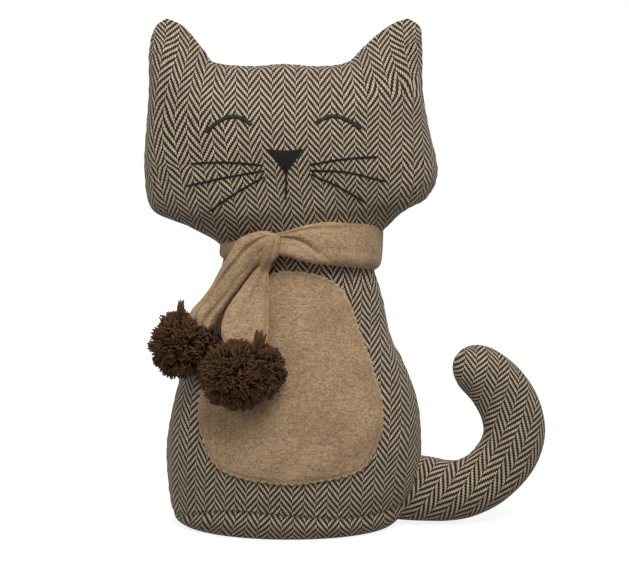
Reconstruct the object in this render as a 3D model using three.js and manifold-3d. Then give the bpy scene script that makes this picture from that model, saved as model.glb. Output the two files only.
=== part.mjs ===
// Weighted fabric door stop in the shape of a sitting cat, in millimetres, +Z up.
// The cat looks along -Y, its tail lies at +X, and the origin is on the flat underside.
// Left and right are the viewer's, so left is -X.

import * as THREE from 'three';
import { mergeVertices } from 'three/addons/utils/BufferGeometryUtils.js';
import Module from 'manifold-3d';

const wasm = await Module();
wasm.setup();

// Overall heights
const EAR_TIP_Z = 300;
const CROWN_Z = 273;
const TEMPLE_Z = 236;
const CHEEK_Z = 211;
const JAW_Z = 182;
const NECK_Z = 164;
const SHOULDER_Z = 134;
const WAIST_Z = 95;
const HIP_Z = 46;

// Widths and the x of their middles, because the head and neck sit a little off the body
const EAR_SPAN = 141;
const EAR_MIDDLE_X = -3;
const HEAD_WIDTH = 173;
const TEMPLE_WIDTH = 163;
const HEAD_MIDDLE_X = -2;
const NECK_WIDTH = 88;
const NECK_MIDDLE_X = 3;
const SHOULDER_WIDTH = 103;
const WAIST_WIDTH = 131;
const HIP_WIDTH = 152;
const FOOT_WIDTH = 140;
const BODY_MIDDLE_X = 0.5;
const FOOT_MIDDLE_X = -2;

// Front to back thickness
const HEAD_DEPTH = 84;
const NECK_DEPTH = 56;
const SHOULDER_DEPTH = 72;
const HIP_DEPTH = 116;
const FOOT_DEPTH = 108;

// Heights of the base seam from the -X side to the +X side, and how far the base rounds in below it
const SEAM_HEIGHTS = [7, 14, 13.3, 13, 18];
const BASE_ROUND = 6;

// Cloth and what is inside it
const CLOTH = 1.2;
const SEAM_GAP = 0.3;
const REST_GAP = 0.3;
const INNER_GAP = 0.8;
const BAG_TOP_STATION = 3.5;

// Tail
const TAIL_WIDTH = 37;
const TAIL_END_WIDTH = 33;
const TAIL_DEPTH = 28;
const TAIL_PLANE_Y = -6;
const TAIL_TIP_LENGTH = 21;
const TAIL_ROOT_Z = 20;
const TAIL_REACH_X = 132;
const TAIL_TIP_Z = 104;

// Plush patch on the belly
const PATCH_HEIGHT = 122;
const PATCH_WIDTH = 108;
const PATCH_BOTTOM_Z = 33;
const PATCH_MIDDLE_X = -1;
const PATCH_PILE = 2.6;
const PATCH_EDGE = 1.2;

// Scarf
const BAND_HEIGHT = 25;
const BAND_THICK = 13;
const BAND_WIDTH = 97;
const BAND_DEPTH = 80;
const BAND_MIDDLE_X = 5;
const BAND_RIGHT_Z = 168;
const BAND_LEFT_Z = 165;
const BAND_FRONT_RISE = 5.5;
const END_WIDTH = 20;
const END_THICK = 11;
const END_FLARE = 27;

// Pompoms, as width, depth and height
const SIDE_POMPOM = [39, 38, 41];
const FRONT_POMPOM = [49, 37, 40];
const POMPOM_TUFT = 0.05;

// Embroidery
const EYE_THREAD = 2.4;
const WHISKER_THREAD = 1.1;
const MOUTH_THREAD = 1.1;
const THREAD_RISE = 0.8;
const NOSE_WIDTH = 20.5;
const NOSE_HEIGHT = 14;
const NOSE_TOP_Z = 226;
const NOSE_X = -4;
const MOUTH_GAP = 1;
const MOUTH_LENGTH = 13;

// Fineness of the meshes
const COLUMNS = 20;
const BAG_COLUMNS = 10;
const DOME_ROWS = 8;
const TAIL_STEPS = 19;
const TAIL_COLUMNS = 8;
const SECTION_SIDES = 10;
const BAND_STEPS = 32;

const TWEED = { color: 0x80705c, roughness: 0.95, metalness: 0 };
const PLUSH = { color: 0xa58c6e, roughness: 1, metalness: 0 };
const YARN = { color: 0x3c2d21, roughness: 1, metalness: 0 };
const FLOSS = { color: 0x1e1814, roughness: 0.7, metalness: 0 };
const FIBRE = { color: 0xe6e2da, roughness: 1, metalness: 0 };
const SAND_BAG = { color: 0x8c7f66, roughness: 0.9, metalness: 0 };

// Small helpers on numbers and lists

function mix(a, b, t) {
  return a + (b - a) * t;
}

function clamp01(t) {
  return Math.min(1, Math.max(0, t));
}

// A smooth curve through rows of numbers, read at a fractional row index.
function through(rows, index) {
  const last = rows.length - 1;
  const i = Math.min(last - 1, Math.max(0, Math.floor(index)));
  const t = index - i;
  const p1 = rows[i];
  const p2 = rows[i + 1];
  const p0 = i > 0 ? rows[i - 1] : p1.map((v, k) => 2 * v - p2[k]);
  const p3 = i + 2 <= last ? rows[i + 2] : p2.map((v, k) => 2 * v - p1[k]);
  return p1.map((v, k) => {
    const a = 2 * v;
    const b = p2[k] - p0[k];
    const c = 2 * p0[k] - 5 * v + 4 * p2[k] - p3[k];
    const d = 3 * v - p0[k] - 3 * p2[k] + p3[k];
    return 0.5 * (a + b * t + c * t * t + d * t * t * t);
  });
}

// The cat's outline, as matching stations up its two sides and one curve over the head.
// Each station is left x, left z, right x, right z and the full depth there.

const half = (width) => width / 2;
const left = (middle, width) => middle - half(width);
const right = (middle, width) => middle + half(width);

function station(middle, width, zLeft, zRight, depth) {
  return [left(middle, width), zLeft, right(middle, width), zRight, depth];
}

const SEAM_LEFT_Z = SEAM_HEIGHTS[0];
const SEAM_RIGHT_Z = SEAM_HEIGHTS[SEAM_HEIGHTS.length - 1];
const EAR_OUT_Z = mix(CROWN_Z, EAR_TIP_Z, 0.36);
const EAR_TURN_Z = mix(CROWN_Z, EAR_TIP_Z, 0.8);
const HEAD_OUT_Z = mix(TEMPLE_Z, CROWN_Z, 0.6);
const STATIONS = [
  station(FOOT_MIDDLE_X, FOOT_WIDTH, SEAM_LEFT_Z, SEAM_RIGHT_Z, FOOT_DEPTH),
  station(BODY_MIDDLE_X, mix(FOOT_WIDTH, HIP_WIDTH, 0.8), SEAM_LEFT_Z + 14, SEAM_RIGHT_Z + 8,
    mix(FOOT_DEPTH, HIP_DEPTH, 0.7)),
  station(BODY_MIDDLE_X, HIP_WIDTH, HIP_Z, HIP_Z, HIP_DEPTH),
  station(BODY_MIDDLE_X, mix(WAIST_WIDTH, HIP_WIDTH, 0.72), mix(HIP_Z, WAIST_Z, 0.53),
    mix(HIP_Z, WAIST_Z, 0.53), mix(SHOULDER_DEPTH, HIP_DEPTH, 0.84)),
  station(BODY_MIDDLE_X, WAIST_WIDTH, WAIST_Z, WAIST_Z, mix(SHOULDER_DEPTH, HIP_DEPTH, 0.55)),
  station(mix(BODY_MIDDLE_X, NECK_MIDDLE_X, 0.3), mix(SHOULDER_WIDTH, WAIST_WIDTH, 0.45),
    mix(WAIST_Z, SHOULDER_Z, 0.44), mix(WAIST_Z, SHOULDER_Z, 0.44),
    mix(SHOULDER_DEPTH, HIP_DEPTH, 0.32)),
  station(mix(BODY_MIDDLE_X, NECK_MIDDLE_X, 0.5), SHOULDER_WIDTH, SHOULDER_Z, SHOULDER_Z,
    SHOULDER_DEPTH),
  station(NECK_MIDDLE_X, NECK_WIDTH, NECK_Z, NECK_Z, NECK_DEPTH),
  station(mix(HEAD_MIDDLE_X, NECK_MIDDLE_X, 0.6), mix(NECK_WIDTH, HEAD_WIDTH, 0.42),
    JAW_Z - 4.5, JAW_Z + 3, mix(NECK_DEPTH, HEAD_DEPTH, 0.5)),
  station(HEAD_MIDDLE_X, mix(NECK_WIDTH, HEAD_WIDTH, 0.87), mix(JAW_Z, CHEEK_Z, 0.22),
    mix(JAW_Z, CHEEK_Z, 0.46), mix(NECK_DEPTH, HEAD_DEPTH, 0.85)),
  station(HEAD_MIDDLE_X + 1, HEAD_WIDTH, CHEEK_Z, CHEEK_Z, HEAD_DEPTH),
  station(HEAD_MIDDLE_X - 1, mix(TEMPLE_WIDTH, HEAD_WIDTH, 0.35), TEMPLE_Z, TEMPLE_Z, HEAD_DEPTH),
  station(HEAD_MIDDLE_X - 2, mix(TEMPLE_WIDTH, HEAD_WIDTH, -0.2), HEAD_OUT_Z, HEAD_OUT_Z,
    HEAD_DEPTH * 0.97),
  station(HEAD_MIDDLE_X - 2, mix(EAR_SPAN, TEMPLE_WIDTH, 0.87), EAR_OUT_Z, EAR_OUT_Z,
    HEAD_DEPTH * 0.9),
  station(EAR_MIDDLE_X, mix(EAR_SPAN, TEMPLE_WIDTH, 0.62), EAR_TURN_Z, EAR_TURN_Z,
    HEAD_DEPTH * 0.87),
  station(EAR_MIDDLE_X, EAR_SPAN, EAR_TIP_Z, EAR_TIP_Z, HEAD_DEPTH * 0.85),
];
const TOP_STATION = STATIONS.length - 1;
const JAW_STATION = 9;
const DOME_STATION = 10.5;

// From ear tip to ear tip: share of the half span from the middle, and share of the ear's height.
const EAR_SLOPE = [[0.935, 0.93], [0.861, 0.81], [0.762, 0.55], [0.688, 0.29], [0.6, 0.06],
  [0.3, -0.02]];
const EAR_UNLIKE = 0.2;
const TOP_POINTS = [
  [left(EAR_MIDDLE_X, EAR_SPAN), EAR_TIP_Z],
  ...EAR_SLOPE.map((p) => earPoint(-p[0], p[1])),
  earPoint(-0.05, 0.03),
  ...EAR_SLOPE.map((p) => earPoint(p[0] * (1 - EAR_UNLIKE * (1 - p[1])), p[1])).reverse(),
  [right(EAR_MIDDLE_X, EAR_SPAN), EAR_TIP_Z],
];

function earPoint(across, up) {
  return [EAR_MIDDLE_X + across * half(EAR_SPAN), mix(CROWN_Z, EAR_TIP_Z, up)];
}

// Moves each point of an open run sideways by the inset, using its neighbours' direction.
function insetPoint(before, point, after, inset) {
  const dx = after[0] - before[0];
  const dz = after[1] - before[1];
  const length = Math.hypot(dx, dz);
  return [point[0] + (dz / length) * inset, point[1] - (dx / length) * inset];
}

// The outline's three runs, moved inwards by the inset, with shared corners at the ear tips.
const outlineCache = new Map();

function outline(inset) {
  if (outlineCache.has(inset)) return outlineCache.get(inset);
  const leftRun = STATIONS.map((s) => [s[0], s[1]]);
  const rightRun = STATIONS.map((s) => [s[2], s[3]]);
  const around = [...leftRun, ...TOP_POINTS.slice(1, -1), ...[...rightRun].reverse()];
  const moved = around.map((p, i) => {
    if (i === 0) return [p[0] + inset, p[1]];
    if (i === around.length - 1) return [p[0] - inset, p[1]];
    return insetPoint(around[i - 1], p, around[i + 1], inset);
  });
  const n = STATIONS.length;
  const runs = {
    left: moved.slice(0, n),
    right: moved.slice(-n).reverse(),
    top: moved.slice(n - 1, moved.length - n + 1),
  };
  runs.topAt = evenSteps(runs.top);
  outlineCache.set(inset, runs);
  return runs;
}

// Fractional indices of a run by its length, so that equal steps of u are equal distances.
function evenSteps(run) {
  const lengths = [0];
  for (let i = 1; i < run.length; i += 1) {
    const step = Math.hypot(run[i][0] - run[i - 1][0], run[i][1] - run[i - 1][1]);
    lengths.push(lengths[i - 1] + step);
  }
  const total = lengths[lengths.length - 1];
  return (u) => {
    const target = u * total;
    let i = 1;
    while (i < run.length - 1 && lengths[i] < target) i += 1;
    return i - 1 + (target - lengths[i - 1]) / (lengths[i] - lengths[i - 1]);
  };
}

function seamZ(across) {
  const rows = SEAM_HEIGHTS.map((z) => [z]);
  return through(rows, across * (rows.length - 1))[0];
}

// How far the sides have climbed from one station's height to the ear tips, as a share.
function climbed(runs, from, height) {
  const start = sideHeight(runs, from);
  return clamp01((height - start) / (sideHeight(runs, TOP_STATION) - start));
}

function sideHeight(runs, s) {
  return mix(through(runs.left, s)[1], through(runs.right, s)[1], 0.5);
}

// One point of the stuffed shape. s counts stations upwards, t goes from the left seam (0) to the
// right one (1), side is -1 for the front and +1 for the back, and inset moves it inwards.
function bodyPoint(s, t, side, inset, gap) {
  const runs = outline(inset);
  const u = (1 - Math.cos(Math.PI * t)) / 2;
  const a = through(runs.left, s);
  const b = through(runs.right, s);
  const height = mix(a[1], b[1], 0.5);
  const notch = Math.pow(climbed(runs, JAW_STATION, height), 1.6);
  const top = through(runs.top, runs.topAt(u));
  const lastLeft = runs.left[TOP_STATION];
  const lastRight = runs.right[TOP_STATION];
  const foot = Math.pow(clamp01(1 - s / 2), 2);
  const x = mix(a[0], b[0], u) + notch * (top[0] - mix(lastLeft[0], lastRight[0], u));
  const zTop = notch * (top[1] - mix(lastLeft[1], lastRight[1], u));
  const zFoot = foot * (seamZ(u) - mix(SEAM_LEFT_Z, SEAM_RIGHT_Z, u));
  const z = mix(a[1], b[1], u) + zTop + zFoot;
  const depth = through(STATIONS, s)[4];
  const q = climbed(runs, DOME_STATION, height);
  const dome = Math.sqrt(Math.max(0, 1 - q * q));
  const bulge = (half(depth) - inset) * Math.pow(Math.sin(Math.PI * t), 0.9) * dome;
  return new THREE.Vector3(x, side * (gap + bulge), z);
}

// Station values of the mesh rows, closer together over the head's dome.
function rowStations(from, to, perStation) {
  const rows = [];
  const plain = Math.min(to, DOME_STATION);
  const count = Math.max(1, Math.round((plain - from) * perStation));
  for (let i = 0; i <= count; i += 1) {
    rows.push(mix(from, plain, i / count));
  }
  if (to > DOME_STATION) {
    for (let i = 1; i <= DOME_ROWS; i += 1) {
      const q = Math.sin((i / DOME_ROWS) * Math.PI / 2);
      rows.push(mix(DOME_STATION, TOP_STATION, q));
    }
  }
  return rows;
}

// Below the seam the shape rounds in to the flat underside. q goes from the seam (0) to the floor (1).
function basePoint(q, t, side, inset, zGap) {
  const rim = bodyPoint(0, t, side, inset, 0);
  const round = BASE_ROUND * (1 - Math.cos(q * Math.PI / 2));
  const across = 1 - round / half(FOOT_WIDTH);
  const deep = 1 - round / half(FOOT_DEPTH);
  const top = rim.z - zGap;
  const bottom = inset;
  const z = mix(top, bottom, Math.sin(q * Math.PI / 2));
  return new THREE.Vector3(mix(FOOT_MIDDLE_X, rim.x, across), rim.y * deep, z);
}

// Meshes from rows of points

class Builder {
  constructor() {
    this.points = [];
    this.faces = [];
  }

  row(points) {
    const first = this.points.length;
    points.forEach((p) => this.points.push(p));
    return points.map((p, i) => first + i);
  }

  strip(a, b, closed) {
    const count = closed ? a.length : a.length - 1;
    for (let i = 0; i < count; i += 1) {
      const j = (i + 1) % a.length;
      this.faces.push([a[i], a[j], b[j]], [a[i], b[j], b[i]]);
    }
  }

  fan(ring, centre, flip) {
    const c = this.row([centre])[0];
    ring.forEach((v, i) => {
      const w = ring[(i + 1) % ring.length];
      this.faces.push(flip ? [c, w, v] : [c, v, w]);
    });
  }

  geometry() {
    const positions = this.points.flatMap((p) => [p.x, p.y, p.z]);
    let geometry = new THREE.BufferGeometry();
    geometry.setAttribute('position', new THREE.Float32BufferAttribute(positions, 3));
    geometry.setIndex(this.faces.flat());
    geometry = mergeVertices(geometry, 1e-3);
    return dropFlat(facingOut(geometry));
  }
}

// Leaves out triangles that lost a corner when close points were merged.
function dropFlat(geometry) {
  const index = geometry.index.array;
  const kept = [];
  for (let i = 0; i < index.length; i += 3) {
    const [a, b, c] = [index[i], index[i + 1], index[i + 2]];
    if (a !== b && b !== c && a !== c) kept.push(a, b, c);
  }
  geometry.setIndex(kept);
  return geometry;
}

function signedVolume(geometry) {
  const index = geometry.index.array;
  const position = geometry.attributes.position;
  const corner = (i) => new THREE.Vector3().fromBufferAttribute(position, index[i]);
  let volume = 0;
  for (let i = 0; i < index.length; i += 3) {
    volume += corner(i).dot(corner(i + 1).cross(corner(i + 2))) / 6;
  }
  return volume;
}

function facingOut(geometry) {
  if (signedVolume(geometry) < 0) {
    const index = geometry.index.array;
    for (let i = 0; i < index.length; i += 3) {
      [index[i + 1], index[i + 2]] = [index[i + 2], index[i + 1]];
    }
  }
  return geometry;
}

// A closed body from two like grids of points, one over the other, joined round their rims.
function plate(outer, inner) {
  const b = new Builder();
  const top = outer.map((r) => b.row(r));
  const under = inner.map((r) => b.row(r));
  const last = top.length - 1;
  for (let i = 0; i < last; i += 1) {
    b.strip(top[i], top[i + 1], false);
    b.strip(under[i + 1], under[i], false);
  }
  b.strip(under[0], top[0], false);
  b.strip(top[last], under[last], false);
  const firstTop = top.map((r) => r[0]);
  const firstUnder = under.map((r) => r[0]);
  const endTop = top.map((r) => r[r.length - 1]);
  const endUnder = under.map((r) => r[r.length - 1]);
  b.strip(firstTop, firstUnder, false);
  b.strip(endUnder, endTop, false);
  return b.geometry();
}

// A closed body from rings of points, with a fan at each end that isn't a point already.
function stack(rings, capFirst, capLast) {
  const b = new Builder();
  const rows = rings.map((r) => b.row(r));
  for (let i = 0; i < rows.length - 1; i += 1) {
    b.strip(rows[i], rows[i + 1], true);
  }
  if (capFirst) b.fan(rows[0], middleOf(rings[0]), true);
  if (capLast) b.fan(rows[rows.length - 1], middleOf(rings[rings.length - 1]), false);
  return b.geometry();
}

function middleOf(points) {
  const sum = new THREE.Vector3();
  points.forEach((p) => sum.add(p));
  return sum.divideScalar(points.length);
}

// Joining and cutting

function toSolid(geometry) {
  const merged = geometry.clone();
  merged.deleteAttribute('normal');
  merged.deleteAttribute('uv');
  const clean = mergeVertices(merged, 1e-4);
  return new wasm.Manifold(new wasm.Mesh({
    numProp: 3,
    vertProperties: Float32Array.from(clean.attributes.position.array),
    triVerts: Uint32Array.from(clean.index.array),
  }));
}

function toGeometry(solid) {
  const mesh = solid.getMesh();
  const geometry = new THREE.BufferGeometry();
  geometry.setAttribute('position', new THREE.BufferAttribute(mesh.vertProperties, 3));
  geometry.setIndex(new THREE.BufferAttribute(mesh.triVerts, 1));
  return geometry;
}

// Keeps the largest piece, so that a cut leaves no loose crumb.
function largest(solid) {
  const pieces = solid.decompose();
  return pieces.reduce((best, piece) => (piece.volume() > best.volume() ? piece : best));
}

// The stuffed body

function bodyRing(s, inset, columns) {
  const ring = [];
  for (let i = 0; i < columns; i += 1) ring.push(bodyPoint(s, i / columns, -1, inset, 0));
  for (let i = columns; i > 0; i -= 1) ring.push(bodyPoint(s, i / columns, 1, inset, 0));
  return ring;
}

function baseRing(q, inset, columns, zGap) {
  const ring = [];
  for (let i = 0; i < columns; i += 1) ring.push(basePoint(q, i / columns, -1, inset, zGap));
  for (let i = columns; i > 0; i -= 1) ring.push(basePoint(q, i / columns, 1, inset, zGap));
  return ring;
}

function baseRings(inset, columns, zGap) {
  return [1, 0.8, 0.55, 0.3].map((q) => baseRing(q, inset, columns, zGap));
}

// The whole cat without its tail, as a plain solid that other pieces are cut against.
function wholeBody(grow) {
  const body = rowStations(0, TOP_STATION, 2).map((s) => bodyRing(s, -grow, COLUMNS));
  return stack([...baseRings(-grow, COLUMNS, 0), ...body], true, false);
}

function bodyPanel(side) {
  const grid = (inset) => rowStations(0, TOP_STATION, 2).map((s) => {
    const row = [];
    for (let i = 0; i <= COLUMNS; i += 1) {
      row.push(bodyPoint(s, i / COLUMNS, side, inset, SEAM_GAP / 2));
    }
    return row;
  });
  return plate(grid(0), grid(CLOTH));
}

function basePanel() {
  const b = new Builder();
  const rimOuter = baseRing(0, 0, COLUMNS, SEAM_GAP);
  const rimInner = baseRing(0, CLOTH, COLUMNS, SEAM_GAP);
  const outer = [...baseRings(0, COLUMNS, SEAM_GAP), rimOuter].map((r) => b.row(r));
  const inner = [...baseRings(CLOTH, COLUMNS, SEAM_GAP), rimInner].map((r) => b.row(r));
  const last = outer.length - 1;
  for (let i = 0; i < last; i += 1) {
    b.strip(outer[i], outer[i + 1], true);
    b.strip(inner[i + 1], inner[i], true);
  }
  b.strip(outer[last], inner[last], true);
  b.fan(outer[0], new THREE.Vector3(0, 0, 0), true);
  b.fan(inner[0], new THREE.Vector3(0, 0, CLOTH), false);
  return b.geometry();
}

function weightBag() {
  const inset = CLOTH + INNER_GAP;
  const sides = rowStations(0, BAG_TOP_STATION, 2).map((s) => bodyRing(s, inset, BAG_COLUMNS));
  return stack([...baseRings(inset, BAG_COLUMNS, 0), ...sides], true, true);
}

function bodyFilling() {
  const inset = CLOTH + INNER_GAP;
  const stationHeight = STATIONS[4][1] - STATIONS[3][1];
  const from = BAG_TOP_STATION + INNER_GAP / stationHeight;
  const rings = rowStations(from, TOP_STATION, 2).map((s) => bodyRing(s, inset, COLUMNS));
  return stack(rings, true, false);
}

// Places on the front of the body

// The mesh position that lies over a given x and z, found by a few Newton steps.
function findPlace(x, z) {
  let s = TOP_STATION / 2;
  let t = 0.5;
  let best = null;
  for (let i = 0; i <= 40; i += 1) {
    for (let j = 2; j <= 38; j += 1) {
      const p = bodyPoint((i / 40) * TOP_STATION, j / 40, -1, 0, 0);
      const away = Math.hypot(p.x - x, p.z - z);
      if (best === null || away < best) {
        best = away;
        s = (i / 40) * TOP_STATION;
        t = j / 40;
      }
    }
  }
  const step = 1e-3;
  for (let k = 0; k < 8; k += 1) {
    const p = bodyPoint(s, t, -1, 0, 0);
    const ps = bodyPoint(s + step, t, -1, 0, 0);
    const pt = bodyPoint(s, t + step, -1, 0, 0);
    const a = (ps.x - p.x) / step;
    const b = (pt.x - p.x) / step;
    const c = (ps.z - p.z) / step;
    const d = (pt.z - p.z) / step;
    const det = a * d - b * c;
    s = Math.min(TOP_STATION - 0.05, Math.max(0.02, s + (d * (x - p.x) - b * (z - p.z)) / det));
    t = Math.min(0.98, Math.max(0.02, t + (a * (z - p.z) - c * (x - p.x)) / det));
  }
  return [s, t];
}

// The point a given height above the front cloth, over x and z, with the cloth's direction there.
function onFront(x, z, lift) {
  const [s, t] = findPlace(x, z);
  const step = 2e-3;
  const p = bodyPoint(s, t, -1, 0, SEAM_GAP / 2);
  const along = bodyPoint(s + step, t, -1, 0, SEAM_GAP / 2).sub(p);
  const across = bodyPoint(s, t + step, -1, 0, SEAM_GAP / 2).sub(p);
  const out = across.cross(along).normalize();
  if (out.y > 0) out.negate();
  return { point: p.addScaledVector(out, lift), out };
}

// A thread or strip laid on the front cloth, following points of x and z.
function laidStrip(points, width, bottom, top, steps) {
  const grid = { under: [], over: [] };
  const last = points.length - 1;
  for (let i = 0; i <= steps; i += 1) {
    const at = (i / steps) * last;
    const p = through(points, at);
    const q = through(points, Math.min(last, at + 0.01));
    const r = through(points, Math.max(0, at - 0.01));
    const length = Math.hypot(q[0] - r[0], q[1] - r[1]);
    const nx = (-(q[1] - r[1]) / length) * half(width);
    const nz = ((q[0] - r[0]) / length) * half(width);
    const ends = [[p[0] - nx, p[1] - nz], [p[0] + nx, p[1] + nz]];
    grid.under.push(ends.map((e) => onFront(e[0], e[1], bottom).point));
    grid.over.push(ends.map((e) => onFront(e[0], e[1], top).point));
  }
  return plate(grid.over, grid.under);
}

// A flat piece laid on the front cloth: rings shrink from its outline to a middle point.
function laidPatch(outlinePoints, middle, rings, bottom, edgeTop, middleTop) {
  const b = new Builder();
  const over = [];
  const under = [];
  for (let r = 0; r < rings; r += 1) {
    const share = 1 - r / rings;
    const rise = mix(edgeTop, middleTop, Math.sqrt(1 - share * share * share));
    const at = (p) => [mix(middle[0], p[0], share), mix(middle[1], p[1], share)];
    const places = outlinePoints.map(at);
    over.push(b.row(places.map((p) => onFront(p[0], p[1], rise).point)));
    under.push(b.row(places.map((p) => onFront(p[0], p[1], bottom).point)));
  }
  for (let r = 0; r < rings - 1; r += 1) {
    b.strip(over[r], over[r + 1], true);
    b.strip(under[r + 1], under[r], true);
  }
  b.strip(under[0], over[0], true);
  b.fan(over[rings - 1], onFront(middle[0], middle[1], middleTop).point, false);
  b.fan(under[rings - 1], onFront(middle[0], middle[1], bottom).point, true);
  return b.geometry();
}

// Belly patch

// Half widths of the patch as shares of its full one, from its bottom to its top.
const PATCH_SHAPE = [[0, 0], [0.04, 0.66], [0.14, 0.9], [0.32, 1], [0.5, 0.91], [0.68, 0.77],
  [0.84, 0.64], [0.95, 0.45], [1, 0]];

function patchOutline(grow) {
  const side = (sign) => PATCH_SHAPE.map(([up, share]) => [
    PATCH_MIDDLE_X + sign * share * (half(PATCH_WIDTH) + grow),
    PATCH_BOTTOM_Z - grow + up * (PATCH_HEIGHT + 2 * grow),
  ]);
  const rightSide = side(1);
  const leftSide = side(-1).reverse().slice(1, -1);
  const loop = [...rightSide, ...leftSide];
  const curve = new THREE.CatmullRomCurve3(loop.map((p) => new THREE.Vector3(p[0], 0, p[1])), true);
  return curve.getSpacedPoints(32).slice(0, -1).map((p) => [p.x, p.z]);
}

function patchMiddle() {
  return [PATCH_MIDDLE_X, PATCH_BOTTOM_Z + PATCH_HEIGHT * 0.45];
}

function bellyPatch(body) {
  const thick = laidPatch(patchOutline(0), patchMiddle(), 5, -PATCH_EDGE, REST_GAP + PATCH_EDGE,
    REST_GAP + PATCH_PILE);
  return toGeometry(largest(toSolid(thick).subtract(body)));
}

// The room that the patch takes up, with a clearance all round it.
function patchRoom() {
  return laidPatch(patchOutline(REST_GAP), patchMiddle(), 5, 0, REST_GAP * 2.5 + PATCH_EDGE,
    REST_GAP * 2.5 + PATCH_PILE);
}

// Tail

const TAIL_LINE = [
  [half(HIP_WIDTH) - 14, TAIL_ROOT_Z + 2],
  [half(HIP_WIDTH), TAIL_ROOT_Z],
  [half(HIP_WIDTH) + 12, TAIL_ROOT_Z - 0.8],
  [half(HIP_WIDTH) + 26, TAIL_ROOT_Z + 0.2],
  [mix(half(HIP_WIDTH), TAIL_REACH_X, 0.76), mix(TAIL_ROOT_Z, TAIL_TIP_Z, 0.1)],
  [TAIL_REACH_X - 1, mix(TAIL_ROOT_Z, TAIL_TIP_Z, 0.3)],
  [TAIL_REACH_X - 2, mix(TAIL_ROOT_Z, TAIL_TIP_Z, 0.55)],
  [TAIL_REACH_X - 14.5, mix(TAIL_ROOT_Z, TAIL_TIP_Z, 0.77)],
  [TAIL_REACH_X - 30, TAIL_TIP_Z],
];

// Middle, sideways direction and half sizes of the tail at a share of its length.
function tailSection(share, inset) {
  const runs = evenSteps(TAIL_LINE);
  const total = tailLength();
  const along = share * (1 - inset / total);
  const at = runs(along);
  const p = through(TAIL_LINE, at);
  const q = through(TAIL_LINE, at + 0.01);
  const length = Math.hypot(q[0] - p[0], q[1] - p[1]);
  const toTip = total * (1 - along);
  const away = clamp01(1 - (toTip - inset) / (TAIL_TIP_LENGTH - inset));
  const round = Math.sqrt(Math.max(0, 1 - Math.pow(away, 2.6)));
  return {
    middle: p,
    side: [-(q[1] - p[1]) / length, (q[0] - p[0]) / length],
    width: (half(mix(TAIL_WIDTH, TAIL_END_WIDTH, along)) - inset) * round,
    depth: (half(TAIL_DEPTH) - inset) * round,
  };
}

function tailLength() {
  let total = 0;
  for (let i = 1; i < TAIL_LINE.length; i += 1) {
    const [a, b] = [TAIL_LINE[i - 1], TAIL_LINE[i]];
    total += Math.hypot(b[0] - a[0], b[1] - a[1]);
  }
  return total;
}

function tailPoint(share, t, face, inset, gap) {
  const section = tailSection(share, inset);
  const across = -Math.cos(Math.PI * t) * section.width;
  const out = Math.sin(Math.PI * t) * section.depth;
  return new THREE.Vector3(
    section.middle[0] + section.side[0] * across,
    TAIL_PLANE_Y + face * (gap + out),
    section.middle[1] + section.side[1] * across,
  );
}

// Steps along the tail, closer together where its tip rounds off.
function tailShares() {
  const tipFrom = 1 - TAIL_TIP_LENGTH / tailLength();
  const shares = [];
  const plain = Math.round(TAIL_STEPS * 0.7);
  for (let i = 0; i < plain; i += 1) shares.push((i / plain) * tipFrom);
  const round = TAIL_STEPS - plain;
  for (let i = 0; i <= round; i += 1) {
    shares.push(mix(tipFrom, 1, Math.sin((i / round) * Math.PI / 2)));
  }
  return shares;
}

function tailPanel(face, body) {
  const grid = (inset) => tailShares().map((share) => {
    const row = [];
    for (let i = 0; i <= TAIL_COLUMNS; i += 1) {
      row.push(tailPoint(share, i / TAIL_COLUMNS, face, inset, SEAM_GAP / 2));
    }
    return row;
  });
  return toGeometry(largest(toSolid(plate(grid(0), grid(CLOTH))).subtract(body)));
}

function tailFilling(body) {
  const inset = CLOTH + INNER_GAP;
  const rings = tailShares().map((share) => {
    const ring = [];
    for (let i = 0; i < TAIL_COLUMNS; i += 1) {
      ring.push(tailPoint(share, i / TAIL_COLUMNS, -1, inset, 0));
    }
    for (let i = TAIL_COLUMNS; i > 0; i -= 1) {
      ring.push(tailPoint(share, i / TAIL_COLUMNS, 1, inset, 0));
    }
    return ring;
  });
  return toGeometry(largest(toSolid(stack(rings, true, false)).subtract(body)));
}

// Pompoms

// A ball of yarn ends, a little lobed, of the given sizes round a middle.
function pompomBall(sizes, middle, grow) {
  const geometry = mergeVertices(bare(new THREE.IcosahedronGeometry(1, 4)), 1e-4);
  const position = geometry.attributes.position;
  const p = new THREE.Vector3();
  for (let i = 0; i < position.count; i += 1) {
    p.fromBufferAttribute(position, i).normalize();
    const lobes = Math.sin(7 * p.x + 2 * p.z) * Math.sin(6 * p.y - 1) * Math.sin(7 * p.z + 1);
    const r = 1 + POMPOM_TUFT * lobes;
    position.setXYZ(i,
      middle.x + p.x * (half(sizes[0]) * r + grow),
      middle.y + p.y * (half(sizes[1]) * r + grow),
      middle.z + p.z * (half(sizes[2]) * r + grow));
  }
  return facingOut(geometry);
}

function bare(geometry) {
  geometry.deleteAttribute('normal');
  geometry.deleteAttribute('uv');
  return geometry;
}

const SIDE_POMPOM_AT = new THREE.Vector3(-63.5, -34, 111);
const FRONT_POMPOM_AT = new THREE.Vector3(-29, -63, 98.5);

function pompom(sizes, middle, room) {
  return toGeometry(largest(toSolid(pompomBall(sizes, middle, 0)).subtract(room)));
}

// Scarf

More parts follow.
